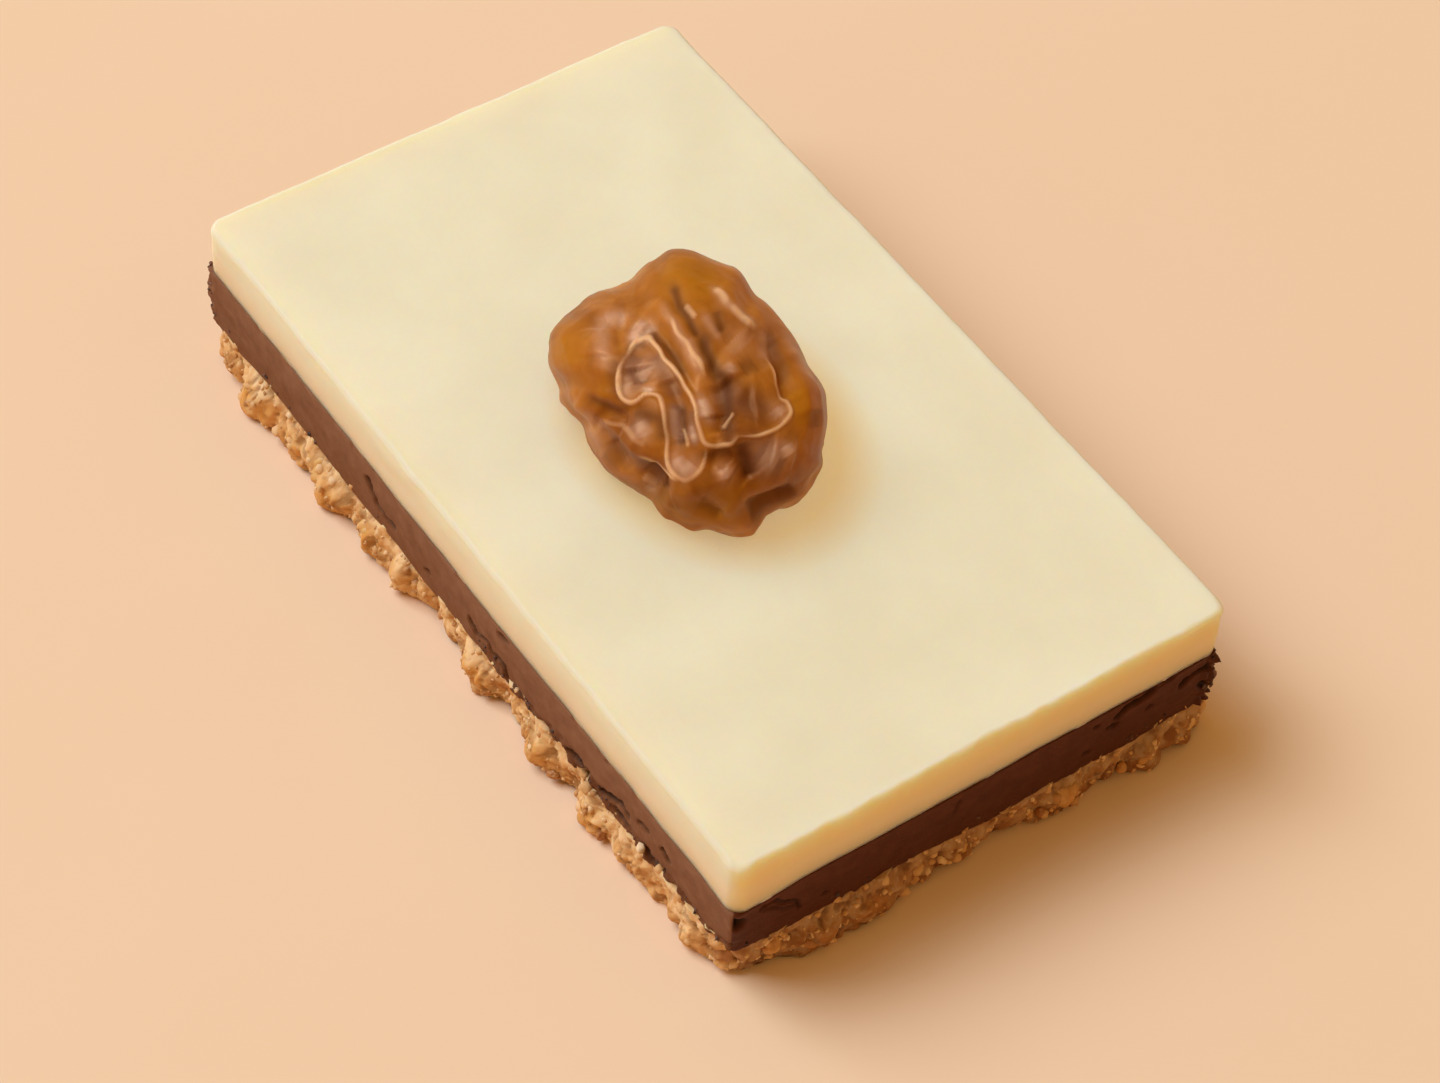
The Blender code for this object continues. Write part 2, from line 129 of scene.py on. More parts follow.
# The date, the same egg, place and best side as the solid's
DATE_MIDDLE = np.array((0.0047, -0.0040, 0.0285))
DATE_WAIST = np.array((0.0018, -0.0032, 0.0266))
DATE_HALVES = np.array((0.0181, 0.0114, 0.0080))
DATE_UNDER_WAIST = 0.0078
DATE_FULLNESS = 4.0
POLE = 0.9999
# The oval round the date where its warm shadow is painted onto the cheesecake
DATE_SHADE_MIDDLE = (0.0030, -0.0005)
DATE_SHADE_HALVES = (0.0160, 0.0125)
DATE_DETAIL = 7
DATE_BURIED = 0.0002
FACE_TURN = math.radians(52.0)
FACE_RISE = math.radians(50.5)
FACE_ROLL = math.radians(4.4)
FACE_SHIFT_MM = (0.86, -0.35)
FACE_SCALE = (1.0, 0.984)
DATE_OUTLINE_MM = (
    (12.9, 0.2), (10.8, 3.9), (9.1, 7.2), (6.1, 10.5), (3.2, 13.9), (-2.7, 15.8), (-5.0, 14.5),
    (-7.5, 12.4), (-12.0, 10.2), (-15.1, 7.2), (-15.5, 5.0), (-14.1, 1.0), (-11.5, -2.9), (-9.7, -6.3),
    (-4.9, -9.7), (-2.9, -12.0), (0.0, -13.1), (5.0, -13.8), (7.0, -11.5), (10.1, -10.1), (12.2, -7.0),
    (12.4, -4.9), (12.9, -2.9),
)  # fmt: skip

# Wide forms of the date's skin in millimetres: height, half width, line on its best side
DATE_FORMS_MM = (
    (-0.75, 1.5, ((-5.2, 2.6), (-4.8, 1.0))),
    (-0.55, 0.9, ((-2.4, 1.4), (-0.9, -1.6), (-0.6, -4.6))),
    (0.45, 1.5, ((-8.9, 6.6), (-9.0, 3.6))),
    (0.55, 1.3, ((-5.6, 6.6), (-4.6, 6.0))),
    (0.50, 1.2, ((-3.9, 9.6), (-2.4, 6.9), (-0.5, 4.2), (1.2, 1.6))),
    (0.40, 1.2, ((0.4, 11.0), (1.0, 8.6))),
    (0.45, 1.2, ((2.2, 10.4), (4.4, 7.6), (6.3, 6.3))),
    (-0.75, 1.9, ((3.4, 1.4), (4.6, -0.8), (6.6, -0.8))),
    (-0.70, 1.2, ((2.6, -2.0), (3.2, -3.8))),
    (0.40, 1.1, ((3.6, 2.8), (4.2, 1.4))),
    (-0.55, 1.5, ((-9.4, -2.2), (-6.4, -3.6))),
    (0.50, 1.2, ((-11.6, -0.6), (-8.2, -3.0), (-4.6, -5.0))),
    (-0.60, 1.3, ((-8.4, -4.8), (-6.6, -8.0))),
    (-0.85, 0.9, ((-4.4, -7.2), (-2.6, -9.2))),
    (0.40, 1.2, ((-5.4, -9.2), (-3.2, -10.4))),
    (-0.65, 1.4, ((1.8, -6.4), (4.8, -7.0), (6.4, -8.6))),
    (0.45, 1.1, ((3.4, -7.6), (4.2, -8.2))),
    (0.40, 1.4, ((8.2, -5.6), (10.4, -6.0))),
    (-0.60, 1.0, ((8.0, 5.6), (9.2, 2.6), (10.0, -0.6))),
    (0.40, 1.2, ((9.6, 4.6), (11.4, 0.8), (12.0, -2.4))),
    (-0.55, 1.1, ((1.0, -10.6), (3.2, -12.2))),
    (-0.70, 1.0, ((5.6, -11.8), (8.8, -10.4), (10.8, -9.4))),
    (0.35, 1.6, ((-1.4, -11.0), (1.0, -9.8))),
)  # fmt: skip

# Thin raised rims of the skin, in the same words
DATE_RIMS_MM = (
    (0.34, 0.26, ((-6.2, 3.7), (-5.8, 4.5), (-5.0, 5.2), (-4.0, 5.4), (-3.2, 4.5), (-2.5, 3.3), (-1.5, 2.3),
                  (-0.6, 0.8), (0.2, -0.5), (0.7, -1.7), (1.0, -3.0), (1.3, -4.5), (1.7, -5.1), (2.5, -5.3),
                  (3.4, -5.2), (4.3, -5.0), (4.8, -4.3))),
    (0.28, 0.26, ((1.7, -5.1), (1.6, -6.3), (1.3, -7.1), (0.8, -7.9), (0.0, -8.4), (-0.7, -8.4), (-1.5, -7.9),
                  (-2.0, -7.1), (-2.2, -6.1), (-2.2, -4.5), (-2.3, -3.0), (-2.5, -1.5), (-3.0, -0.4),
                  (-3.8, -0.2), (-4.5, -0.3), (-5.2, -0.8), (-5.8, -0.9), (-6.5, -0.5), (-6.9, 0.3),
                  (-7.1, 1.3), (-7.0, 2.3), (-6.6, 3.2), (-6.2, 3.7))),
    (0.28, 0.22, ((4.8, -4.3), (7.0, -4.2), (8.5, -3.6), (9.4, -2.9), (10.1, -1.9), (9.9, -0.9), (9.2, -0.3),
                  (8.8, 1.0), (8.3, 2.3), (7.7, 3.7))),
    (0.32, 0.26, ((-1.8, 7.4), (-1.4, 6.0), (-0.3, 4.8), (0.4, 3.7), (1.0, 2.9), (1.6, 1.5))),
    (0.26, 0.26, ((3.4, -3.3), (4.5, -1.6))),
    (0.30, 0.45, ((2.4, 10.4), (3.1, 9.7), (3.7, 9.0))),
    (0.30, 0.45, ((4.1, 8.6), (5.0, 7.4), (6.6, 6.2))),
    (0.26, 0.40, ((-0.4, 8.9), (0.6, 7.6))),
    (0.15, 0.35, ((-9.0, -2.4), (-7.4, -3.0), (-6.2, -3.4), (-5.0, -4.6), (-4.0, -5.2))),
    (0.22, 0.30, ((-5.0, -6.0), (-3.4, -7.0), (-2.2, -8.0), (-0.8, -8.6))),
    (0.26, 0.26, ((-0.7, -3.4), (0.0, -5.4))),
    (0.24, 0.40, ((-4.8, -8.3), (-3.4, -9.2))),
)  # fmt: skip

# Sharp valleys of the skin, in the same words
DATE_VALLEYS_MM = (
    (-0.40, 0.63, ((-5.6, 8.3), (-3.2, 6.4), (-1.7, 4.6), (-0.6, 2.8), (0.6, 0.6))),
    (-0.43, 0.70, ((-2.0, 11.0), (-1.4, 9.2), (-0.4, 7.6), (0.8, 5.8), (1.8, 3.8), (2.7, 1.4), (3.3, -0.6), (3.4, -3.2))),
    (-0.29, 0.56, ((1.9, 9.4), (3.0, 7.4), (3.6, 6.2))),
    (-0.25, 0.77, ((5.2, 2.2), (6.6, 3.0), (7.2, 2.2))),
    (-0.36, 0.49, ((7.6, 6.4), (8.6, 4.4), (9.2, 2.6), (9.6, 0.8))),
    (-0.32, 0.56, ((-11.0, -0.2), (-9.0, -1.0), (-7.2, -2.0), (-6.0, -3.0))),
    (-0.36, 0.56, ((-8.8, -3.4), (-8.0, -5.4), (-7.0, -7.2))),
    (-0.40, 0.56, ((-4.2, -6.8), (-2.6, -8.4), (-2.4, -9.6), (-3.6, -10.2))),
    (-0.29, 0.49, ((4.6, -5.8), (5.6, -7.2), (6.2, -8.8))),
    (-0.32, 0.49, ((0.6, -10.4), (1.6, -11.6), (3.4, -12.6))),
    (-0.32, 0.56, ((5.4, -11.4), (7.4, -10.6), (9.8, -9.6))),
    (-0.25, 0.42, ((-6.6, 8.6), (-7.2, 6.0), (-7.0, 4.4))),
)  # fmt: skip
FOLD_STEPS = 5

# Where the skin is coloured, as strength, half width, line on the best side: pale patches that are painted highlights;
# dark patches, partly the skin's own and partly painted shade in its valleys and along its lower edge; clear amber,
# partly the skin's own and partly painted light glowing through its thin edges; mauve in the basins, partly the skin's
# own and partly a painted reflection
DATE_PAINTED_HIGHLIGHTS_MM = (
    (1.00, 0.8, ((-5.4, 4.9), (-4.7, 6.6), (-3.9, 5.7))), (0.45, 1.1, ((-5.2, 2.8), (-4.0, 2.0))),
    (0.90, 0.35, ((-4.6, 0.1), (-3.6, 0.3))), (1.00, 0.65, ((1.2, -0.6), (1.8, -2.4))),
    (0.55, 0.35, ((0.2, -3.2), (0.6, -5.0))), (0.90, 0.8, ((-1.2, -6.4), (-0.5, -7.4), (0.3, -6.8))),
    (0.40, 0.4, ((-1.6, -1.4), (-1.4, -4.4))), (0.70, 0.7, ((-5.0, -2.8), (-4.2, -4.4))),
    (0.40, 0.8, ((-8.6, 8.0), (-8.6, 3.0))), (0.65, 0.6, ((4.0, 2.8), (4.1, 1.9))),
    (0.35, 1.2, ((2.8, 0.4), (3.4, -0.6))), (0.70, 0.9, ((8.6, -1.4), (9.2, -2.2))),
    (0.50, 0.8, ((3.4, -7.4), (3.8, -8.4))), (0.95, 0.7, ((9.2, -5.4), (9.8, -6.2))),
    (0.50, 1.5, ((7.2, -6.0), (8.8, -6.8))), (0.55, 0.45, ((2.2, 10.4), (3.4, 9.2), (5.0, 7.6), (6.4, 6.6))),
    (0.35, 0.5, ((1.4, 8.0), (3.0, 5.6))), (0.55, 0.5, ((-4.2, -9.0), (-3.6, -9.5))),
    (0.30, 1.6, ((4.4, 5.6), (5.4, 4.4))), (0.45, 0.7, ((-0.4, 5.2), (1.2, 2.4))),
    (0.35, 0.6, ((9.6, 6.0), (11.0, 3.4), (12.0, 1.2))), (0.35, 0.9, ((-10.4, -3.0), (-9.0, -6.4))),
    (0.60, 0.9, ((-6.4, 7.8), (-8.6, 7.4))), (0.45, 0.5, ((-6.3, 1.8), (-6.4, -0.3))),
    (0.36, 0.50, ((-2.7, 8.6), (-1.4, 6.4), (-0.1, 3.7), (1.6, 1.4))), (0.40, 1.0, ((7.5, 6.4), (7.9, 3.4))),
)  # fmt: skip
DATE_DARK_AND_SHADE_MM = (
    (0.80, 0.50, ((-4.0, 6.0), (-2.0, 4.2), (-0.4, 1.6))), (0.85, 0.55, ((-1.8, 11.0), (-0.6, 8.4), (1.0, 5.4))),
    (0.95, 0.75, ((1.2, 6.4), (1.9, 3.8), (2.7, 2.2), (3.8, 0.4), (3.9, -6.0))), (0.55, 0.90, ((5.4, 2.2), (6.6, 3.1))),
    (1.00, 0.90, ((5.2, -4.8), (5.6, -6.6), (6.2, -8.4))), (0.75, 0.60, ((1.2, -6.4), (2.8, -5.8), (4.4, -5.8))),
    (0.70, 1.30, ((5.8, -12.2), (8.0, -11.0), (11.2, -9.8))), (1.00, 0.55, ((-4.0, -7.0), (-2.6, -8.4), (-2.5, -9.6))),
    (0.55, 0.50, ((1.0, -11.2), (3.0, -12.4))), (0.50, 0.50, ((7.9, 6.6), (9.1, 4.0), (9.9, 1.4))),
    (0.60, 0.50, ((-10.2, -0.4), (-7.8, -1.4), (-5.6, -1.4))), (0.70, 0.50, ((2.6, 8.4), (3.3, 6.2))),
    (0.85, 0.40, ((-0.9, -1.2), (-0.5, -3.0), (-0.6, -5.2))), (0.55, 0.45, ((-6.2, 3.9), (-5.4, 4.7), (-4.2, 4.7))),
    (0.45, 1.60, ((5.0, 0.6), (6.8, -1.6), (6.4, -3.0))), (0.50, 1.30, ((-8.6, -5.4), (-6.4, -6.6))),
    (0.60, 0.70, ((12.4, -1.6), (12.4, -3.4))), (0.55, 0.60, ((-7.2, 3.4), (-7.6, 1.6), (-6.6, -0.9))),
    (0.75, 0.90, ((-5.6, -1.9), (-4.2, -2.3), (-2.8, -2.8), (-2.5, -5.0))), (0.34, 2.40, ((-3.0, -9.8), (1.0, -10.8), (6.0, -10.8))),
    (0.35, 0.80, ((1.2, -8.9), (2.4, -7.9))), (0.50, 1.00, ((-3.6, -9.8), (-2.2, -10.3), (-0.6, -10.8))),
    (0.30, 1.20, ((9.4, -4.2), (10.4, -5.0))), (0.40, 0.90, ((-4.6, -8.0), (-3.8, -9.4))),
)  # fmt: skip
DATE_AMBER_AND_GLOW_MM = (
    (0.8, 2.2, ((-13.2, 6.0), (-12.4, 2.8))), (0.8, 2.4, ((-3.0, 12.6), (0.6, 11.6), (2.4, 11.0))),
    (1.0, 1.8, ((-4.6, -10.6), (-1.0, -12.0), (3.6, -11.6), (6.4, -10.0))), (0.8, 1.1, ((10.6, 0.4), (11.2, -3.4))),
    (0.5, 1.2, ((-9.0, 0.4), (-8.0, -0.2))),
)  # fmt: skip
DATE_MAUVE_AND_REFLECTION_MM = (
    (0.90, 1.1, ((-5.6, 4.0), (-5.8, 2.0), (-4.6, 0.6))), (0.80, 1.1, ((-3.8, 3.8), (-2.2, 1.8), (-1.2, -0.4))),
    (1.00, 0.8, ((-1.4, -0.8), (-1.2, -3.2), (-0.8, -5.4))), (0.90, 0.6, ((0.2, -1.6), (0.4, -3.6), (0.6, -5.2))),
    (1.00, 1.9, ((6.6, -5.6), (8.0, -6.6), (9.4, -7.2))), (0.70, 0.9, ((-6.0, -3.2), (-4.6, -3.8))),
    (0.90, 0.8, ((-5.2, -6.4), (-3.8, -7.6), (-3.0, -9.2))), (0.55, 1.3, ((4.2, 1.4), (5.0, -0.4), (8.2, -1.8))),
)  # fmt: skip

WRINKLE_LENGTH = 0.0100
WRINKLE_WIDTH = 0.0036
WRINKLE_HEIGHT = 0.0005
WRINKLE_SHARPNESS = 2.6
WRINKLE_WARP = 0.35
FACE_WRINKLES = 0.25

# The camera, fitted to the photo
VIEW_TARGET = Vector((0.0157, -0.0084, 0.0200))
VIEW_DISTANCE = 0.3944
VIEW_AZIMUTH = math.radians(52.03)
VIEW_ELEVATION = math.radians(50.51)
VIEW_ROLL = math.radians(4.44)
VIEW_LENS_MM = 98.17
SENSOR_MM = 36.0

EASE = 0.0006

# The light: a warm sky, and one broad cool lamp of which a share passes the date, whose shadow is faint
SKY_COLOUR = (1.0, 0.645, 0.25, 1.0)
SKY_STRENGTH = 0.49
KEY_DIRECTION = (-0.50, -0.42, 0.84)
KEY_DISTANCE = 3.0
KEY_SIZE = 2.0
KEY_POWER = 123.5
KEY_COLOUR = (0.565, 0.728, 0.92)
FILL_SHARE = 0.80


# Smooth random fields


def table_of(seed, columns):
    return np.random.default_rng(seed).random((4096, columns))


GRADIENTS = table_of(11, 3) * 2 - 1
GRADIENTS /= np.linalg.norm(GRADIENTS, axis=1, keepdims=True)
CELLS = table_of(12, 4)


def hashed(cell, seed):
    """An index into the tables for each whole-number place."""
    mixed = cell[..., 0] * 73856093 ^ cell[..., 1] * 19349663 ^ cell[..., 2] * 83492791 ^ (seed * 2971 + 77)
    mixed ^= mixed >> 13
    return (mixed * 1274126177 >> 7) & 4095


def field(points, size, seed=0):
    """Gradient noise from about -1 to 1, with features of this size. size is a number or three of them."""
    places = points / size + 0.37
    cell = np.floor(places).astype(np.int64)
    inside = places - cell
    ease = inside**3 * (inside * (inside * 6 - 15) + 10)
    total = np.zeros(len(points))
    for corner in itertools.product((0, 1), repeat=3):
        step = np.array(corner)
        weight = np.prod(np.where(step == 1, ease, 1 - ease), axis=1)
        total += weight * ((inside - step) * GRADIENTS[hashed(cell + step, seed)]).sum(axis=1)
    return total * 1.7


def layered(points, size, octaves, seed=0):
    """Noise with smaller and smaller features on top."""
    total = np.zeros(len(points))
    for octave in range(octaves):
        total += field(points, np.asarray(size) / 2**octave, seed + octave) / 2**octave
    return total


def grains(points, size, seed=0):
    """(distance to the nearest grain's middle, distance to the next, four random numbers of that grain)."""
    places = points / size + 0.71
    cell = np.floor(places).astype(np.int64)
    near = np.full(len(points), 9.0)
    following = np.full(len(points), 9.0)
    own = np.zeros((len(points), 4))
    for corner in itertools.product((-1, 0, 1), repeat=3):
        there = cell + np.array(corner)
        drawn = CELLS[hashed(there, seed)]
        away = np.linalg.norm(there + drawn[:, :3] - places, axis=1)
        closer = away < near
        following = np.where(closer, near, np.minimum(following, away))
        own[closer] = drawn[closer]
        near = np.where(closer, away, near)
    return near, following, own


def ramp(values, low, high):
    share = np.clip((values - low) / (high - low), 0, 1)
    return share * share * (3 - 2 * share)


def curve_through(points):
    """Points close together on a smooth curve through the given ones."""
    points = [np.array(point, float) for point in points]
    last = len(points) - 1
    line = []
    for i in range(last):
        a, b, c, d = (points[max(0, min(last, j))] for j in (i - 1, i, i + 1, i + 2))
        for step in range(FOLD_STEPS):
            t = step / FOLD_STEPS
            bend = (2 * a - 5 * b + 4 * c - d) * t * t + (3 * b - a - 3 * c + d) * t**3
            line.append(b + ((c - a) * t + bend) / 2)
    return np.array([*line, points[-1]])


def distance_to(line, spots):
    """Shortest distance from each spot to a run of short straight pieces, and the share of the way along it."""
    best = np.full(len(spots), np.inf)
    along = np.zeros(len(spots))
    for i, (a, b) in enumerate(zip(line, line[1:])):
        run = b - a
        t = np.clip((spots - a) @ run / (run @ run), 0, 1)
        away = np.linalg.norm(a + t[:, None] * run - spots, axis=1)
        along = np.where(away < best, (i + t) / (len(line) - 1), along)
        best = np.minimum(best, away)
    return best, along


# Slabs with a rounded rectangle as their plan


def ring(length, width, corner, counts):
    """Places round the rectangle, outward directions, and the same number of places whatever its size."""
    places, outs = [], []
    spans = (width - 2 * corner, length - 2 * corner)
    for side in range(4):
        run, across = spans[side % 2], spans[(side + 1) % 2]
        facing = side * math.pi / 2
        out = np.array((math.cos(facing), math.sin(facing)))
        along = np.array((-out[1], out[0]))
        for t in np.linspace(-0.5, 0.5, counts[side % 2], endpoint=False):
            places.append(out * (across / 2 + corner) + along * t * run)
            outs.append(out)
        for t in np.linspace(0, math.pi / 2, counts[2], endpoint=False):
            bend = np.array((math.cos(facing + t), math.sin(facing + t)))
            places.append(out * across / 2 + along * run / 2 + bend * corner)
            outs.append(bend)
    return np.array(places), np.array(outs)


def within_solids(points):
    """Eases what would stand out of the solids' box back inside it."""
    low, high = np.array(cad_bounds[0]), np.array(cad_bounds[1])
    over = np.maximum(points - (high - EASE), 0)
    under = np.maximum(low + EASE - points, 0) * (1, 1, 0)
    points = np.where(over > 0, high - EASE * np.exp(-over / EASE), points)
    points = np.where(under > 0, low + EASE * np.exp(-under / EASE), points)
    return np.maximum(points, (-1, -1, 0))


def make_mesh(name, points, faces, attributes=(), smooth=True):
    mesh = bpy.data.meshes.new(name)
    mesh.from_pydata(within_solids(points).tolist(), [], faces)
    for label, values in dict(attributes).items():
        layer = mesh.attributes.new(label, "FLOAT", "POINT")
        layer.data.foreach_set("value", np.asarray(values, np.float32))
    if smooth:
        mesh.shade_smooth()
    mesh.update()
    thing = bpy.data.objects.new(name, mesh)
    bpy.context.scene.collection.objects.link(thing)
    return thing


def slab(name, stations, corner, counts, shape):
    """A closed slab. stations runs from the underside's inner ring to the top's, as (row up the side, inset)."""
    rims, outs, rows, insets = [], [], [], []
    for row, inset in stations:
        rim, out = ring(BAR_LENGTH - 2 * inset, BAR_WIDTH - 2 * inset, corner, counts)
        rims.append(rim)
        outs.append(out)
        rows.append(np.full(len(rim), row))
        insets.append(np.full(len(rim), inset))
    around = len(rims[0])
    points, attributes = shape(np.concatenate(rims), np.concatenate(outs), np.concatenate(rows), np.concatenate(insets))
    faces = []
    for level in range(len(stations) - 1):
        low, high = level * around, (level + 1) * around
        for i in range(around):
            j = (i + 1) % around
            faces.append((low + i, low + j, high + j, high + i))
    faces.append(tuple(reversed(range(around))))
    faces.append(tuple(range(len(points) - around, len(points))))
    return make_mesh(name, points, faces, attributes)


def crumbs_at(point, size):
    nearest, second = noise.voronoi(point / size)[0][:2]
    return min(1.0, CRUMB_ROUNDING * (second - nearest))


def spots_at(places, spots):
    total = np.zeros(len(places))
    for *middle, reach, height in spots:
        away = np.linalg.norm(places / MM - np.array(middle), axis=1)
        total += height * (1 - ramp(away, 0, reach))
    return total * MM


def wander(rims, height, level):
    """The slow rise and fall of the line where two layers meet."""
    return np.array([height * noise.noise(Vector((x, y, level)) / RIPPLE_SIZE) for x, y in rims])


def seam_drop(rims):
    """How far below its level in the solids the cream's lower edge shows, lower towards the right."""
    drop = SEAM_DROP + 0.0002 * ramp(rims[:, 0], -0.012, 0.002)
    return drop - spots_at(rims, ((50.0, -30.0, 9.0, -0.35),))


def crust_top(rims, insets):
    return CRUST_TOP + (wander(rims, CRUST_RIPPLE, CRUST_TOP) + spots_at(rims, CRUST_TOP_SPOTS_MM)) * (
        1 - ramp(insets, 0, 0.0042)
    )


def chocolate_top(rims, insets):
    return CHOCOLATE_TOP + wander(rims, CHOCOLATE_RIPPLE, CHOCOLATE_TOP) * (1 - ramp(insets, 0, 0.0042))


def lumps_along(places, lumps):
    total = np.zeros(len(places))
    for middle, height, half_width in lumps:
        total += height * np.exp(-(((places / MM - middle) / half_width) ** 2))
    return total * MM


def foot_bulge(rims, outs):
    stray = np.array([LUMP_HEIGHT * noise.noise(Vector((x, y, 0.0)) / LUMP_SIZE) for x, y in rims])
    along_x = np.where(outs[:, 1] < 0, lumps_along(rims[:, 0], FRONT_LUMPS_MM), BACK_LEAN + stray)
    along_y = np.where(outs[:, 0] > 0, lumps_along(rims[:, 1], RIGHT_LUMPS_MM), LEFT_LEAN + stray)
    return along_y * outs[:, 0] ** 2 + along_x * outs[:, 1] ** 2


def lift(flat, height):
    return np.column_stack([flat, height])


def side_stations(rows, inner):
    """Stations of a slab: inner rings below, rows up the side, inner rings above."""
    return [(0.0, inset) for inset in reversed(inner)] + [(r, 0.0) for r in np.linspace(0, 1, rows + 1)] + [
        (1.0, inset) for inset in inner
    ]


# Biscuit crust

CRUST_COUNTS = (240, 400, 14)
CRUST_ROWS = 26


def shape_crust(rims, outs, rows, insets):
    """Lumps, crumbs, grains and pores, from coarse to fine."""
    fade = 1 - ramp(insets, 0, 0.0012)
    tops = crust_top(rims, insets)
    heights = rows * tops
    spots = lift(rims, heights)
    coarse = np.array([crumbs_at(Vector(spot), CRUMB_SIZE) for spot in spots]) - CRUMB_LEVEL
    bulge = foot_bulge(rims, outs) * ramp(1 - rows, 0, BELLY_TOP) + CRUMB_HEIGHT * coarse
    bulge -= 0.0005 * (1 - ramp(rows, 0, 0.16))
    near, following, own = grains(spots + 0.0004 * np.column_stack([field(spots, 0.0011, s) for s in (1, 2, 3)]), 0.0017, 4)
    dome = np.sqrt(np.clip(1 - (near / 0.85) ** 2, 0, 1)) * (0.45 + 0.75 * own[:, 3])
    fine_near, _, fine_own = grains(spots, 0.00075, 5)
    fine = np.sqrt(np.clip(1 - (fine_near / 0.8) ** 2, 0, 1)) * (0.4 + 0.8 * fine_own[:, 3])
    pores = ramp(layered(spots, 0.0016, 2, 6), 0.30, 0.62) + 0.8 * ramp(field(spots, 0.0008, 9), 0.42, 0.7)
    bulge += 0.00026 * (dome - 0.6) + 0.00009 * (fine - 0.5) - 0.00026 * np.clip(pores, 0, 1.2)
    flat = rims + outs * (fade * bulge)[:, None]
    jitter = np.column_stack([field(spots, 0.0009, s) for s in (21, 22, 23)]) * 0.00009 * fade[:, None]
    edge = (rows > 0) & (rows < 1)
    foot = 0.0009 * fade * np.clip(field(spots, 0.0032, 31) + 0.5, 0, 1.2) * (rows == 0)
    points = lift(flat, heights + foot)
    points += jitter * edge[:, None]
    points[:, 2] = np.maximum(points[:, 2], 0.0)
    attributes = {
        "tone": 0.55 * own[:, 3] + 0.3 * fine_own[:, 3] + 0.15 * own[:, 0],
        "pit": np.clip(pores + 0.9 * ramp(near, 0.55, 0.95), 0, 1.5),
        "end": ramp(outs[:, 0], 0.3, 0.9),
        "lump": ramp(foot_bulge(rims, outs), 0.0004, 0.0016) * ramp(1 - rows, 0.2, 0.5) * fade,
        "brim": ramp(rows, 0.62, 0.85) * fade,
    }
    return points, attributes


# Chocolate

CHOCOLATE_COUNTS = (260, 430, 8)
CHOCOLATE_ROWS = 34


def tears_at(along, heights, tears, spots):
    """How deep the cracks and pits are at places of one side, in metres."""
    warp = np.column_stack([field(spots, 0.0012, 41), field(spots, 0.0012, 42)]) * 0.35
    places = np.column_stack([along, heights]) / MM + warp
    deep = np.zeros(len(along))
    for half_width, depth, points in tears:
        away, _ = distance_to(np.array(points, float), places)
        deep = np.maximum(deep, depth * (1 - ramp(away, half_width * 0.35, half_width * 1.5)))
    return deep * MM


def shape_chocolate(rims, outs, rows, insets):
    """A cut side dragged by the knife, cracked and crumbling where the photo shows it."""
    fade = 1 - ramp(insets, 0, 0.0012)
    bottoms = crust_top(rims, insets) - 0.0004
    tops = chocolate_top(rims, insets) + 0.0001 - seam_drop(rims)
    heights = bottoms + rows * (tops - bottoms)
    spots = lift(rims, heights)
    front, right = outs[:, 1] < -0.7, outs[:, 0] > 0.7
    tear = np.zeros(len(rims))
    tear[front] = tears_at(rims[front, 0], heights[front], FRONT_TEARS_MM, spots[front])
    tear[right] = np.maximum(tear[right], tears_at(rims[right, 1], heights[right], RIGHT_TEARS_MM, spots[right]))
    hidden = ~(front | right)
    stray = 0.0007 * ramp(layered(spots, (0.004, 0.004, 0.0016), 3, 44), 0.52, 0.85)
    tear[hidden] = stray[hidden]
    above = heights - crust_top(rims, insets)
    band = 0.0009 + 0.0014 * np.clip(field(lift(rims, 0 * rows), 0.0075, 45) + 0.25, 0, 1)
    band += 0.0012 * front * ramp(rims[:, 0], 0.014, 0.024) * (1 - ramp(rims[:, 0], 0.036, 0.044))
    crumble = 1 - ramp(above, band * 0.5, band)
    crumble *= np.where(front, ramp(rims[:, 0], 0.000, 0.012), np.where(right, 0.35, 0.6))
    drag = field(lift(rims, heights * 6), 0.0065, 46) * 0.00008 + field(spots, 0.0016, 47) * 0.00004
    rough = layered(spots, 0.0013, 3, 48) * 0.00034 * crumble - 0.00012 * crumble
    nick = 0.0003 * ramp(field(spots, 0.0022, 49), 0.35, 0.6) * ramp(rows, 0.9, 1.0)
    corner_b = spots_at(spots, ((-50.0, -30.0, 10.0, 5.0, 0.45), (50.0, 30.0, 9.4, 2.8, 0.45)))
    lip = 0.00012 * ramp(rows, 0.90, 0.97)
    bulge = drag + rough + lip - tear - nick + corner_b
    near, _, own = grains(spots, 0.0011, 50)
    at_c = 1 - ramp(np.linalg.norm(spots[:, :2] - np.array((0.050, 0.030)), axis=1), 0.0008, 0.0030)
    at_b = 1 - ramp(np.linalg.norm(spots[:, :2] - np.array((-0.050, -0.030)), axis=1), 0.0006, 0.0022)
    bulge += np.maximum(at_c, 0.5 * at_b) * 0.0007 * (np.clip(1 - near / 0.8, 0, 1) * 1.6 - 0.7 + 0.3 * own[:, 3])
    flat = rims + outs * (fade * bulge)[:, None]
    attributes = {
        "deep": np.clip(tear / 0.0007, 0, 1.2),
        "crumble": np.clip(crumble + np.maximum(at_c, 0), 0, 1),
        # Painted shade: marks the right end, which faces away from the lamp, to be darkened
        "shaded_end": np.where(outs[:, 0] > 0.7, 1.0, 0.0),
    }
    return lift(flat, heights), attributes


# Cheesecake

CREAM_COUNTS = (150, 250, 14)
CREAM_ARRIS = 0.0006


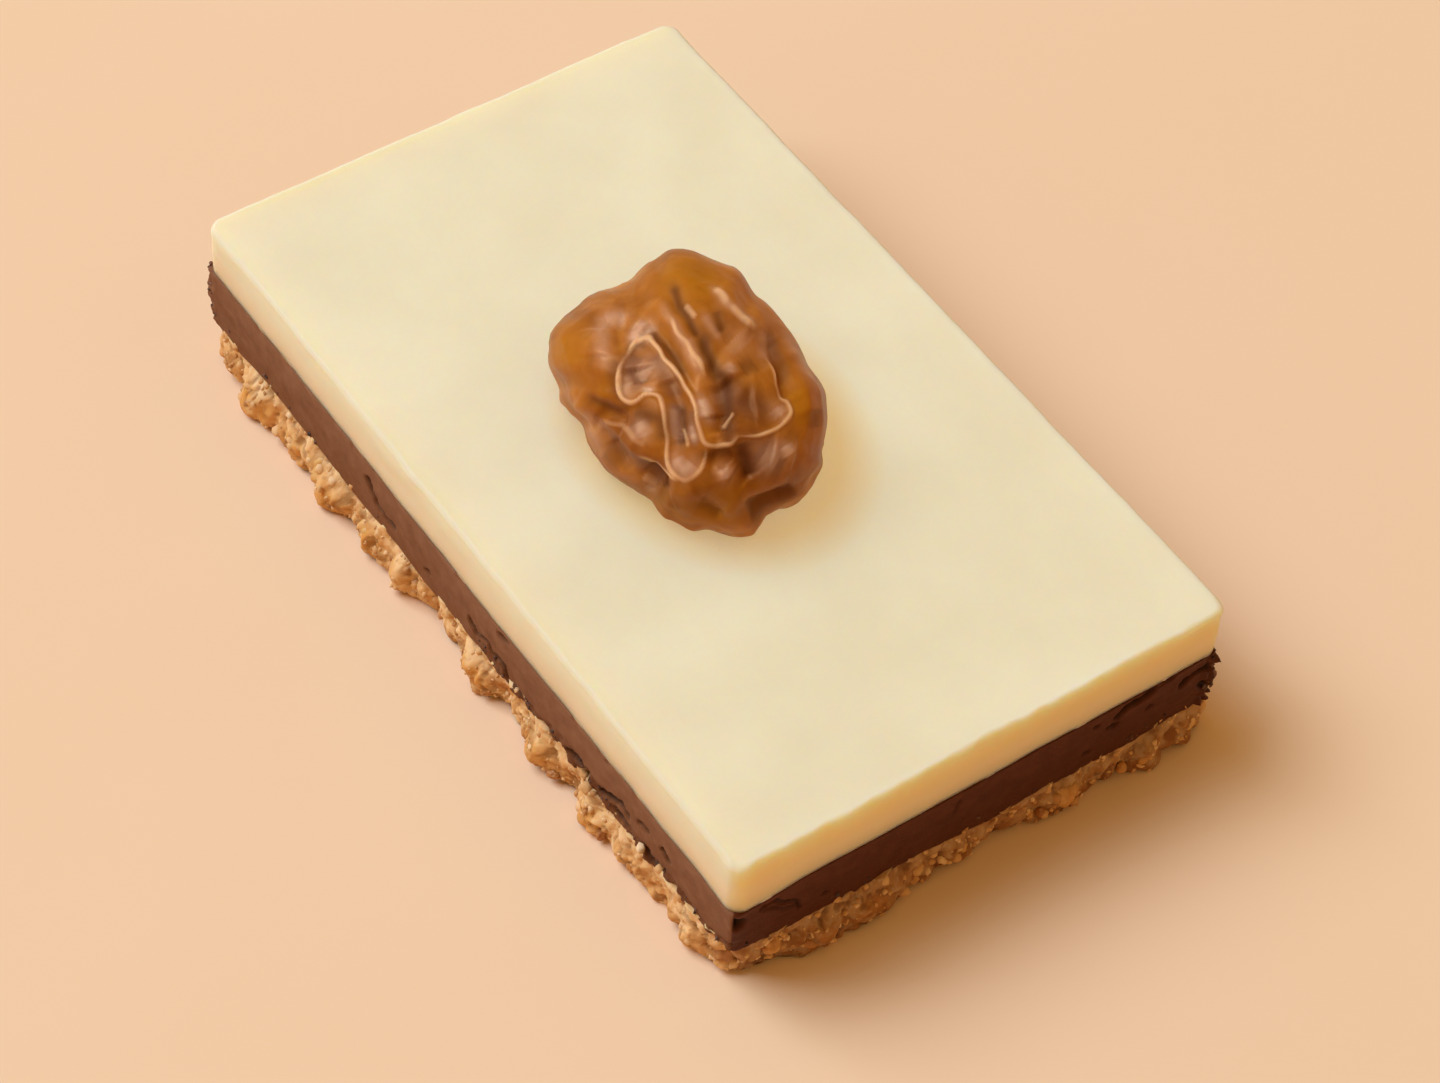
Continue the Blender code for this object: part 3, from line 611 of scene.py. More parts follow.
def cream_stations():
    """Stations as (height above the chocolate's top in metres, inset), with a rolled arris."""
    tall = CREAM_TOP - CHOCOLATE_TOP
    stations = [(0.0, inset) for inset in (0.0042, 0.0012, 0.0001)]
    stations += [(height, 0.0) for height in np.linspace(0.00006, tall - CREAM_ARRIS, 14)]
    for turn in np.linspace(0, math.pi / 2, 9)[1:]:
        stations.append((tall - CREAM_ARRIS * (1 - math.sin(turn)), CREAM_ARRIS * (1 - math.cos(turn))))
    stations += [(tall, CREAM_ARRIS + inset) for inset in (0.0004, 0.001, 0.002, 0.0035, 0.006, 0.010, 0.015, 0.021)]
    stations += [(tall, 0.0272)]
    return stations


def shape_cream(rims, outs, rows, insets):
    """A smooth cut side, slightly uneven where the knife left it, and a gently uneven top."""
    tall = CREAM_TOP - CHOCOLATE_TOP
    bottoms = chocolate_top(rims, insets) - seam_drop(rims)
    heights = bottoms + rows * (CREAM_TOP - bottoms) / tall
    spots = lift(rims, heights)
    fade = 1 - ramp(insets, 0.0, 0.0035)
    side = field(lift(rims, heights * 4), 0.0090, 61) * 0.00010 + field(spots, 0.0028, 62) * 0.00004
    edge = ramp(rows / tall, 0.62, 0.9) * fade
    ragged = np.where(outs[:, 0] > 0.7, 0.00026, 0.00008)
    side -= edge * ragged * (field(spots, 0.0045, 63) + 0.6 * field(spots, 0.0016, 64) + 0.4)
    flat = rims + outs * (fade * side)[:, None]
    on_top = ramp(insets, CREAM_ARRIS * 0.5, CREAM_ARRIS * 2)
    dips = (field(spots, 0.016, 65) * 0.00009 + field(spots, 0.005, 66) * 0.00002 - 0.00011) * on_top
    attributes = {
        "side": 1 - ramp(insets, CREAM_ARRIS * 0.3, CREAM_ARRIS * 1.2),
        "end": ramp(outs[:, 0], 0.3, 0.9),
        "arris": (1 - ramp(insets, CREAM_ARRIS * 0.5, CREAM_ARRIS * 1.3)) * ramp(rows / tall, 0.86, 0.97)
        * (1 - ramp(outs[:, 0], 0.3, 0.9)),
    }
    return lift(flat, heights + dips), attributes


# Date


def face_axes():
    level = math.cos(FACE_RISE)
    outward = Vector((math.sin(FACE_TURN) * level, -math.cos(FACE_TURN) * level, math.sin(FACE_RISE)))
    right = Vector((0, 0, 1)).cross(outward).normalized()
    up = outward.cross(right)
    c, s = math.cos(FACE_ROLL), math.sin(FACE_ROLL)
    return np.array(right * c + up * s), np.array(up * c - right * s), np.array(outward)


def outline_radius(angles):
    spokes = sorted((math.atan2(v, u), math.hypot(u, v) * MM) for u, v in DATE_OUTLINE_MM)
    turn = 2 * math.pi
    spokes = [(spokes[-1][0] - turn, spokes[-1][1]), *spokes, (spokes[0][0] + turn, spokes[0][1])]
    radius = np.zeros(len(angles))
    for (low, near), (high, far) in zip(spokes, spokes[1:]):
        here = (angles >= low) & (angles <= high)
        radius[here] = near + (far - near) * ramp(angles[here], low, high)
    return radius


def resting_egg(sphere):
    """Places and outward directions of an egg settled on the cream: round above its waist, full below it."""
    halves = np.where(sphere[:, 2:] > 0, DATE_HALVES, (*DATE_HALVES[:2], DATE_UNDER_WAIST))
    low = np.clip(-sphere[:, 2], 0, POLE)
    fuller = (1 - low**DATE_FULLNESS) ** (1 / DATE_FULLNESS) / np.sqrt(1 - low**2)
    egg = sphere * halves
    egg[:, :2] *= fuller[:, None]
    normals = sphere / halves
    return DATE_WAIST + egg, normals / np.linalg.norm(normals, axis=1, keepdims=True)


def egg_radius(angles, right, up):
    """How far the egg reaches in the picture from its middle, towards each angle."""
    turns, rises = np.meshgrid(np.linspace(0, 2 * math.pi, 720), np.linspace(-math.pi / 2, math.pi / 2, 360))
    sphere = np.column_stack(
        [(np.cos(rises) * np.cos(turns)).ravel(), (np.cos(rises) * np.sin(turns)).ravel(), np.sin(rises).ravel()]
    )
    egg, _ = resting_egg(sphere)
    egg[:, 2] = np.maximum(egg[:, 2], CREAM_TOP)
    egg -= DATE_MIDDLE
    u, v = egg @ right, egg @ up
    steps = 180
    bins = np.round((np.arctan2(v, u) / (2 * math.pi)) * steps).astype(int) % steps
    reach = np.zeros(steps)
    np.maximum.at(reach, bins, np.hypot(u, v))
    around = np.arange(-1, steps + 1) * 2 * math.pi / steps
    return np.interp(angles % (2 * math.pi), around, np.concatenate([reach[-1:], reach, reach[:1]]))


def folds_at(spots, folds, join):
    """The folds' heights at spots of the best side, in millimetres, joined by np.add, np.maximum or np.minimum."""
    total = np.zeros(len(spots))
    for height, half_width, points in folds:
        away, along = distance_to(curve_through(points), spots)
        ends = 0.35 + 0.65 * ramp(np.minimum(along, 1 - along), 0, 0.15)
        total = join(total, height * ends * np.exp(-((away / half_width) ** 2)))
    return total


def make_date():
    """The egg pulled to its outline, with wide forms, thin rims, sharp valleys and fine wrinkles."""
    right, up, outward = face_axes()
    bm = bmesh.new()
    bmesh.ops.create_icosphere(bm, subdivisions=DATE_DETAIL, radius=1.0)
    sphere = np.array([vertex.co for vertex in bm.verts])
    faces = [tuple(vertex.index for vertex in face.verts) for face in bm.faces]
    bm.free()
    sphere /= np.linalg.norm(sphere, axis=1, keepdims=True)
    egg, normals = resting_egg(sphere)
    egg -= DATE_MIDDLE
    u, v, w = egg @ right, egg @ up, egg @ outward
    angles = np.arctan2(v, u)
    pull = outline_radius(angles) / egg_radius(angles, right, up)
    u, v = u * pull, v * pull
    facing = ramp(normals @ outward, -0.05, 0.35)
    calm = ramp(normals @ outward, -0.55, -0.05)
    seen = ramp(normals @ outward, -0.4, 0.0)
    spots = np.column_stack([u, v]) / MM * FACE_SCALE + FACE_SHIFT_MM
    spots += 0.16 * np.column_stack([field(egg, 0.0022, 71), field(egg, 0.0022, 72)])
    forms = folds_at(spots, DATE_FORMS_MM, np.add)
    rims = folds_at(spots, DATE_RIMS_MM, np.maximum) * (0.75 + 0.45 * field(egg, 0.0034, 75))
    valleys = folds_at(spots, DATE_VALLEYS_MM, np.minimum)
    warp = np.array([noise.noise_vector(Vector(place) / WRINKLE_LENGTH) for place in egg]) * WRINKLE_WARP
    stretched = egg / np.array((WRINKLE_LENGTH, WRINKLE_WIDTH, WRINKLE_WIDTH)) + warp
    wrinkles = np.array([abs(noise.noise(Vector(place))) for place in stretched])
    wrinkles = WRINKLE_HEIGHT * (1 - WRINKLE_SHARPNESS * wrinkles)
    small = np.abs(field(egg + 0.0006 * warp, (0.0034, 0.0016, 0.0016), 73))
    skin = facing * (forms + rims + valleys) * MM
    skin += wrinkles * (1 - (1 - FACE_WRINKLES) * calm)
    skin += (0.00008 - 0.00025 * small) * (1 - 0.8 * calm) + 0.00002 * field(egg, 0.0012, 74)
    places = np.outer(u, right) + np.outer(v, up) + np.outer(w, outward) + normals * skin[:, None]
    places += DATE_MIDDLE
    places[:, 2] = np.maximum(places[:, 2], CREAM_TOP - DATE_BURIED)
    attributes = {
        "hollow_shade": np.clip(-(forms + valleys) * facing + (1 - facing) * (small * 1.2 - 0.2), 0, 1.4),
        "rim": rims * facing,
        "pale": folds_at(spots, DATE_PAINTED_HIGHLIGHTS_MM, np.maximum) * seen,
        "dark": folds_at(spots, DATE_DARK_AND_SHADE_MM, np.maximum) * seen,
        "amber": folds_at(spots, DATE_AMBER_AND_GLOW_MM, np.maximum) * seen,
        "mauve": folds_at(spots, DATE_MAUVE_AND_REFLECTION_MM, np.maximum) * seen,
    }
    return make_mesh("date_skin", places, faces, attributes)


# Loose crumbs, nuggets and flakes


def pebble(detail, seed, ragged):
    """A lumpy pebble of radius about 1, as corners and faces."""
    bm = bmesh.new()
    bmesh.ops.create_icosphere(bm, subdivisions=detail, radius=1.0)
    points = np.array([vertex.co for vertex in bm.verts])
    faces = np.array([[vertex.index for vertex in face.verts] for face in bm.faces])
    bm.free()
    points *= 1 + ragged * (field(points, 0.9, seed) + 0.5 * field(points, 0.45, seed + 1))[:, None]
    return points, faces


def turned(points, draw):
    """The corners turned every way by a random turn."""
    q = draw.normal(size=4)
    q /= np.linalg.norm(q)
    w, x, y, z = q
    turn = np.array(
        (
            (1 - 2 * (y * y + z * z), 2 * (x * y - z * w), 2 * (x * z + y * w)),
            (2 * (x * y + z * w), 1 - 2 * (x * x + z * z), 2 * (y * z - x * w)),
            (2 * (x * z - y * w), 2 * (y * z + x * w), 1 - 2 * (x * x + y * y)),
        )
    )
    return points @ turn.T


def scatter(name, places, sizes, tones, detail, ragged, squash, draw):
    """One mesh of many pebbles, each at its place with its own size and tone."""
    kinds = [pebble(detail, 200 + 3 * kind, ragged) for kind in range(6)]
    corners, faces, shades, count = [], [], [], 0
    for place, size, tone in zip(places, sizes, tones):
        points, triangles = kinds[draw.integers(len(kinds))]
        body = turned(points * (1.0, draw.uniform(*squash), draw.uniform(*squash)), draw) * size
        corners.append(body + place)
        faces.append(triangles + count)
        shades.append(np.full(len(points), tone))
        count += len(points)
    return make_mesh(
        name, np.concatenate(corners), np.concatenate(faces).tolist(), {"tone": np.concatenate(shades)}
    )


def surface_places(thing, low, high, number, draw):
    """Random places and outward directions on a slab's side, between two heights."""
    mesh = thing.data
    points = np.empty(len(mesh.vertices) * 3)
    mesh.vertices.foreach_get("co", points)
    points = points.reshape(-1, 3)
    normals = np.empty(len(mesh.vertices) * 3)
    mesh.vertices.foreach_get("normal", normals)
    normals = normals.reshape(-1, 3)
    outside = np.maximum(np.abs(points[:, 0]) - BAR_LENGTH / 2, np.abs(points[:, 1]) - BAR_WIDTH / 2) > -0.0016
    chosen = np.flatnonzero(outside & (points[:, 2] > low) & (points[:, 2] < high))
    picked = draw.choice(chosen, number, replace=False)
    return points[picked], normals[picked]


# Nuggets of caramelised biscuit, in millimetres: X, Y, Z, radius, tone
NUGGETS_MM = (
    (-39.6, -31.6, 1.6, 1.7, 0.35), (-32.6, -31.0, 1.5, 1.0, 0.25), (-26.4, -31.0, 2.7, 1.9, 0.75),
    (-23.2, -31.6, 0.9, 0.9, 0.10), (-16.6, -31.0, 2.8, 1.5, 0.80), (-14.6, -30.6, 3.6, 0.7, 0.10),
    (-9.6, -30.8, 2.0, 1.0, 0.20), (-7.6, -30.2, 2.8, 0.9, 0.45), (4.6, -31.0, 2.4, 1.6, 0.70),
    (7.0, -31.0, 1.2, 0.8, 0.20), (14.6, -30.6, 2.4, 0.8, 0.40), (17.4, -30.9, 2.8, 1.5, 0.80),
    (19.6, -31.0, 1.2, 0.7, 0.05), (26.0, -31.0, 2.2, 1.4, 0.65), (28.2, -30.8, 1.0, 0.8, 0.20),
    (33.2, -30.4, 1.1, 0.9, 0.35), (43.6, -30.2, 2.2, 1.0, 0.40), (47.4, -29.4, 2.9, 1.3, 0.15),
    (50.4, -24.6, 3.6, 1.2, 0.55), (51.0, -20.2, 1.6, 1.2, 0.35), (51.0, -14.6, 1.4, 0.9, 0.10),
    (50.4, -2.0, 2.4, 1.4, 0.65), (51.0, 11.2, 2.4, 1.8, 0.60), (51.0, 8.0, 2.2, 0.6, 0.05),
    (51.2, 21.6, 2.6, 1.5, 0.55), (50.8, 18.8, 1.6, 0.6, 0.50), (50.4, 27.6, 2.8, 1.4, 0.85),
)  # fmt: skip


def make_nuggets():
    draw = np.random.default_rng(31)
    rows = [list(row) for row in NUGGETS_MM]
    for _ in range(30):
        along_x = draw.random() < 0.62
        x = draw.uniform(-46, 46) if along_x else -50.2
        y = 30.4 if along_x else draw.uniform(-26, 26)
        rows.append([x, y, draw.uniform(1.0, 4.0), draw.uniform(0.7, 1.6), draw.uniform(0.05, 0.9)])
    rows = np.array(rows)
    places = rows[:, :3] * MM
    flat = places[:, :2]
    facing = np.where(
        np.abs(flat[:, :1]) / BAR_LENGTH > np.abs(flat[:, 1:]) / BAR_WIDTH,
        np.column_stack([np.sign(flat[:, 0]), 0 * flat[:, 0]]),
        np.column_stack([0 * flat[:, 1], np.sign(flat[:, 1])]),
    )
    places[:, :2] -= facing * (rows[:, 3:4] * MM * 0.75)
    return scatter("caramelised_bits", places, rows[:, 3] * MM, rows[:, 4], 4, 0.30, (0.65, 0.95), draw)


def make_crumbs(crust):
    draw = np.random.default_rng(32)
    places, normals = surface_places(crust, 0.0004, CRUST_TOP - 0.0002, 1300, draw)
    sizes = np.clip(draw.lognormal(math.log(0.00032), 0.42, len(places)), 0.00012, 0.0008)
    places = places - normals * (sizes * draw.uniform(0.1, 0.7, len(places)))[:, None]
    places[:, 2] = np.maximum(places[:, 2], sizes * 0.9)
    tones = draw.beta(2.2, 1.6, len(places))
    places = np.vstack([places, [(0.0349, -0.0303, 0.0064)]])
    return scatter("crust_crumbs", places, np.append(sizes, 0.0007), np.append(tones, 2.0), 2, 0.38, (0.55, 1.0), draw)


def make_flakes(chocolate):
    """Chocolate flakes at two corners and bits along the crumbling foot of the front."""
    draw = np.random.default_rng(33)
    places, normals = surface_places(chocolate, CRUST_TOP - 0.0002, CHOCOLATE_TOP, 9000, draw)
    x, y, z = places.T
    at_c = np.hypot(x - 0.050, y - 0.030) < 0.0016
    at_b = np.hypot(x + 0.050, y + 0.030) < 0.0011
    foot = (z < CRUST_TOP + 0.0012) & (draw.random(len(x)) < np.where((y < -0.028) & (x > 0.004), 0.35, 0.06))
    kept = (at_c & (draw.random(len(x)) < 0.55)) | (at_b & (draw.random(len(x)) < 0.5)) | foot
    places, normals = places[kept], normals[kept]
    sizes = draw.uniform(0.00010, 0.00034, len(places))
    places = places - normals * (sizes * draw.uniform(0.0, 0.6, len(places)))[:, None]
    return scatter("chocolate_flakes", places, sizes, draw.random(len(places)), 2, 0.45, (0.35, 0.9), draw)


# Materials


class Surface:
    """A material's node tree, with short ways to add what the surfaces here are made of."""

    def __init__(self, name):
        self.material = bpy.data.materials.new(name)
        self.material.use_nodes = True
        self.tree = self.material.node_tree
        self.shader = self.tree.nodes["Principled BSDF"]
        self.places = self.node("ShaderNodeTexCoord").outputs["Object"]

    def node(self, kind, **settings):
        made = self.tree.nodes.new(kind)
        for key, value in settings.items():
            setattr(made, key, value)
        return made

    def link(self, source, target):
        self.tree.links.new(source, target)

    def feed(self, made, **inputs):
        for key, value in inputs.items():
            socket = made.inputs[key.replace("_", " ")]
            if isinstance(value, bpy.types.NodeSocket):
                self.link(value, socket)
            else:
                socket.default_value = value
        return made

    def stretched(self, scale):
        made = self.node("ShaderNodeMapping")
        made.inputs["Scale"].default_value = scale
        self.link(self.places, made.inputs["Vector"])
        return made.outputs["Vector"]

    def away_from(self, middle, halves):
        """How far a place is from an upright oval's middle, where 1 is on the oval."""
        made = self.node("ShaderNodeMapping")
        made.inputs["Scale"].default_value = (1 / halves[0], 1 / halves[1], 0.0)
        made.inputs["Location"].default_value = (-middle[0] / halves[0], -middle[1] / halves[1], 0.0)
        self.link(self.places, made.inputs["Vector"])
        length = self.node("ShaderNodeVectorMath", operation="LENGTH")
        self.link(made.outputs["Vector"], length.inputs[0])
        return length.outputs["Value"]

    def noise(self, size, detail=4.0, roughness=0.55, distortion=0.0, places=None):
        made = self.node("ShaderNodeTexNoise")
        self.feed(
            made,
            Vector=places or self.places,
            Scale=1.0 / size,
            Detail=detail,
            Roughness=roughness,
            Distortion=distortion,
        )
        return made.outputs["Fac"]

    def grains(self, size, feature="F1"):
        made = self.node("ShaderNodeTexVoronoi", feature=feature)
        self.feed(made, Vector=self.places, Scale=1.0 / size)
        return made.outputs["Distance"]

    def attribute(self, name):
        return self.node("ShaderNodeAttribute", attribute_name=name).outputs["Fac"]

    def height(self):
        made = self.node("ShaderNodeSeparateXYZ")
        self.link(self.places, made.inputs["Vector"])
        return made.outputs["Z"]

    def between(self, value, low, high, out_low=0.0, out_high=1.0):
        made = self.node("ShaderNodeMapRange")
        made.clamp = True
        for socket, number in zip(made.inputs[1:5], (low, high, out_low, out_high)):
            socket.default_value = number
        self.link(value, made.inputs["Value"])
        return made.outputs["Result"]

    def math(self, operation, a, b):
        made = self.node("ShaderNodeMath", operation=operation)
        for socket, value in zip(made.inputs, (a, b)):
            if isinstance(value, bpy.types.NodeSocket):
                self.link(value, socket)
            else:
                socket.default_value = value
        return made.outputs["Value"]

    def mix(self, factor, a, b, blend="MIX"):
        made = self.node("ShaderNodeMix", data_type="RGBA", blend_type=blend)
        for key, value in (("Factor_Float", factor), ("A_Color", a), ("B_Color", b)):
            socket = next(s for s in made.inputs if s.identifier == key)
            if isinstance(value, bpy.types.NodeSocket):
                self.link(value, socket)
            else:
                socket.default_value = value
        return next(s for s in made.outputs if s.identifier == "Result_Color")

    def ramp(self, factor, *stops):
        made = self.node("ShaderNodeValToRGB")
        elements = made.color_ramp.elements
        while len(elements) < len(stops):
            elements.new(1.0)
        for element, (place, colour) in zip(elements, stops):
            element.position = place
            element.color = colour
        self.link(factor, made.inputs["Fac"])
        return made.outputs["Color"]

    def bump(self, height, distance, strength=1.0, normal=None):
        made = self.node("ShaderNodeBump")
        self.feed(made, Height=height, Distance=distance, Strength=strength)
        if normal:
            self.link(normal, made.inputs["Normal"])
        return made.outputs["Normal"]

    def set(self, **inputs):
        self.feed(self.shader, **inputs)


def rgb(red, green, blue):
    """A colour given as it looks, 0 to 255, as the linear light that shaders use."""
    linear = [c / 12.92 if c <= 0.04045 else ((c + 0.055) / 1.055) ** 2.4 for c in (red / 255, green / 255, blue / 255)]
    return (*linear, 1.0)


def crust_material():
    s = Surface("crust_baked")
    tone = s.math("ADD", s.attribute("tone"), s.between(s.noise(0.0022, 5.0), 0.3, 0.7, -0.22, 0.22))
    colour = s.ramp(
        tone,
        (0.10, rgb(172, 112, 58)),
        (0.35, rgb(202, 144, 84)),
        (0.60, rgb(220, 166, 106)),
        (0.85, rgb(234, 188, 134)),
    )
    amber = s.between(s.noise(0.0042, 3.0, places=s.stretched((1.0, 1.0, 1.3))), 0.52, 0.66)
    colour = s.mix(s.math("MULTIPLY", amber, 0.6), colour, rgb(202, 132, 58))
    lump = s.math("MULTIPLY", s.attribute("lump"), s.between(s.noise(0.0021, 4.0), 0.38, 0.58, 0.15, 0.75))
    colour = s.mix(lump, colour, rgb(212, 142, 62))
    brim = s.math("MULTIPLY", s.attribute("brim"), s.between(s.noise(0.0012, 3.0), 0.35, 0.6, 0.1, 0.6))
    colour = s.mix(brim, colour, rgb(234, 192, 142))
    # Painted shade: pores and the gaps between grains are darkened
    dark = s.between(s.attribute("pit"), 0.15, 1.1)
    colour = s.mix(s.math("MULTIPLY", dark, 0.55), colour, rgb(126, 76, 30))
    pale = s.math("MULTIPLY", s.attribute("end"), s.between(s.noise(0.0011, 4.0), 0.5, 0.64, 0.0, 0.5))
    colour = s.mix(pale, colour, rgb(238, 204, 160))
    # Painted shade: the right end, which faces away from the lamp, is darkened, most of all near the floor
    colour = s.mix(s.attribute("end"), colour, rgb(204, 193, 190), "MULTIPLY")
    foot = s.math("MULTIPLY", s.attribute("end"), s.between(s.height(), 0.0006, 0.0028, 0.75, 0.0))
    colour = s.mix(foot, colour, rgb(208, 196, 190), "MULTIPLY")
    fleck = s.between(s.noise(0.0006, 3.0), 0.62, 0.74)
    colour = s.mix(s.math("MULTIPLY", fleck, 0.25), colour, rgb(240, 204, 154))
    bump = s.bump(s.noise(0.00040, 4.0, 0.6), 0.00006, 0.5)
    bump = s.bump(s.grains(0.0006), 0.00005, 0.3, bump)
    s.set(Base_Color=colour, Roughness=s.between(amber, 0, 1, 0.82, 0.5), Normal=bump)
    s.set(Subsurface_Weight=0.35, Subsurface_Scale=0.0014, Specular_IOR_Level=0.2)
    s.shader.inputs["Subsurface Radius"].default_value = (1.0, 0.5, 0.2)
    return s.material


def bits_material():
    s = Surface("caramelised_bits")
    tone = s.math("ADD", s.attribute("tone"), s.between(s.noise(0.0012, 4.0), 0.3, 0.7, -0.2, 0.2))
    colour = s.ramp(
        tone,
        (0.05, rgb(158, 98, 42)),
        (0.35, rgb(186, 122, 56)),
        (0.65, rgb(208, 146, 74)),
        (0.95, rgb(226, 174, 106)),
    )
    s.set(
        Base_Color=colour,
        Roughness=s.between(s.noise(0.0009, 3.0), 0.3, 0.7, 0.36, 0.6),
        Normal=s.bump(s.noise(0.0005, 4.0, 0.6), 0.00012, 0.7),
        Subsurface_Weight=0.3,
        Subsurface_Scale=0.0012,
    )
    s.shader.inputs["Subsurface Radius"].default_value = (1.0, 0.45, 0.15)
    return s.material


def crumb_material():
    s = Surface("crust_crumbs")
    tone = s.math("ADD", s.attribute("tone"), s.between(s.noise(0.0006, 3.0), 0.3, 0.7, -0.1, 0.1))
    colour = s.ramp(
        tone,
        (0.05, rgb(172, 112, 58)),
        (0.40, rgb(204, 146, 86)),
        (0.75, rgb(222, 170, 112)),
        (1.00, rgb(236, 194, 146)),
    )
    s.set(Base_Color=colour, Roughness=0.8, Normal=s.bump(s.noise(0.0002, 3.0), 0.00005, 0.6))
    return s.material


def chocolate_material():
    s = Surface("chocolate_cut")
    mottle = s.noise(0.0018, 6.0, 0.62)
    colour = s.ramp(mottle, (0.30, rgb(110, 64, 38)), (0.52, rgb(122, 74, 46)), (0.72, rgb(133, 85, 56)))
    low = s.between(s.height(), CRUST_TOP, CRUST_TOP + 0.0045, 1.0, 0.0)
    colour = s.mix(s.math("MULTIPLY", low, 0.6), colour, rgb(112, 62, 30))
    high = s.between(s.height(), 0.0095, 0.0125)
    colour = s.mix(s.math("MULTIPLY", high, 0.25), colour, rgb(150, 102, 74))
    # Painted shade: the right end, which faces away from the lamp, is darkened
    colour = s.mix(s.attribute("shaded_end"), colour, rgb(168, 110, 68), "MULTIPLY")
    crumble = s.between(s.noise(0.0012, 4.0), 0.35, 0.7)
    rough = s.math("MULTIPLY", s.attribute("crumble"), crumble)
    colour = s.mix(s.math("MULTIPLY", rough, 0.75), colour, rgb(80, 38, 18))
    # Painted shade: the cracks and pits are coloured almost black
    colour = s.mix(s.attribute("deep"), colour, rgb(40, 14, 5))
    bump = s.bump(s.noise(0.0014, 6.0, 0.62), 0.00008, 0.5)
    bump = s.bump(s.noise(0.00035, 4.0, 0.6), 0.00004, 0.6, bump)
    s.set(
        Base_Color=colour,
        Roughness=s.between(mottle, 0.3, 0.7, 0.66, 0.54),
        Normal=bump,
        Specular_IOR_Level=0.3,
        Specular_Tint=(1.0, 0.72, 0.50, 1.0),
        Subsurface_Weight=0.06,
        Subsurface_Scale=0.0006,
    )
    return s.material


def flake_material():
    s = Surface("chocolate_flakes")
    colour = s.ramp(s.attribute("tone"), (0.1, rgb(52, 24, 12)), (0.6, rgb(84, 44, 24)), (1.0, rgb(122, 74, 44)))
    s.set(Base_Color=colour, Roughness=0.55, Normal=s.bump(s.noise(0.0002, 3.0), 0.00004, 0.6))
    return s.material


def cream_material():
    s = Surface("cheesecake_cream")
    mottle = s.noise(0.0140, 4.0, 0.5)
    colour = s.mix(s.between(mottle, 0.35, 0.65), rgb(231, 218, 183), rgb(236, 224, 190))
    # The sides' colour, partly the cheesecake's own and partly painted light: peach towards the foot for painted bounce
    # light from the floor, more yellow under the top edge for painted light glowing through, and a lighter set of
    # colours for the shaded right end
    level = s.between(s.height(), CHOCOLATE_TOP, CREAM_TOP)
    front = s.ramp(
        level,
        (0.00, rgb(238, 193, 147)),
        (0.28, rgb(235, 207, 168)),
        (0.60, rgb(228, 214, 177)),
        (0.95, rgb(230, 219, 190)),
    )
    end = s.ramp(
        level,
        (0.00, rgb(248, 204, 162)),
        (0.30, rgb(250, 216, 174)),
        (0.62, rgb(246, 218, 164)),
        (0.95, rgb(240, 226, 190)),
    )
    colour = s.mix(s.attribute("side"), colour, s.mix(s.attribute("end"), front, end))
    # Painted shade: the rounded top edge is darkened a little, except at the right end
    colour = s.mix(s.attribute("arris"), colour, rgb(243, 239, 235), "MULTIPLY")
    # Painted shadow: the cheesecake is darkened and warmed in an oval round the date
    painted_date_shade = s.between(s.away_from(DATE_SHADE_MIDDLE, DATE_SHADE_HALVES), 0.95, 1.3, 0.85, 0.0)
    colour = s.mix(painted_date_shade, colour, rgb(255, 228, 178), "MULTIPLY")
    pores = s.between(s.noise(0.0007, 2.0), 0.70, 0.80)
    bump = s.bump(s.noise(0.0030, 4.0, 0.5), 0.00010, 0.25)
    bump = s.bump(s.noise(0.0004, 3.0, 0.6), 0.00002, 0.4, bump)
    bump = s.bump(pores, -0.00003, 0.5, bump)
    s.set(
        Base_Color=colour,
        Roughness=s.between(s.noise(0.006, 3.0), 0.3, 0.7, 0.58, 0.66),
        Normal=bump,
        Subsurface_Weight=0.8,
        Subsurface_Scale=0.0060,
        Specular_IOR_Level=0.16,
    )
    s.shader.inputs["Subsurface Radius"].default_value = (1.0, 0.62, 0.28)
    return s.material


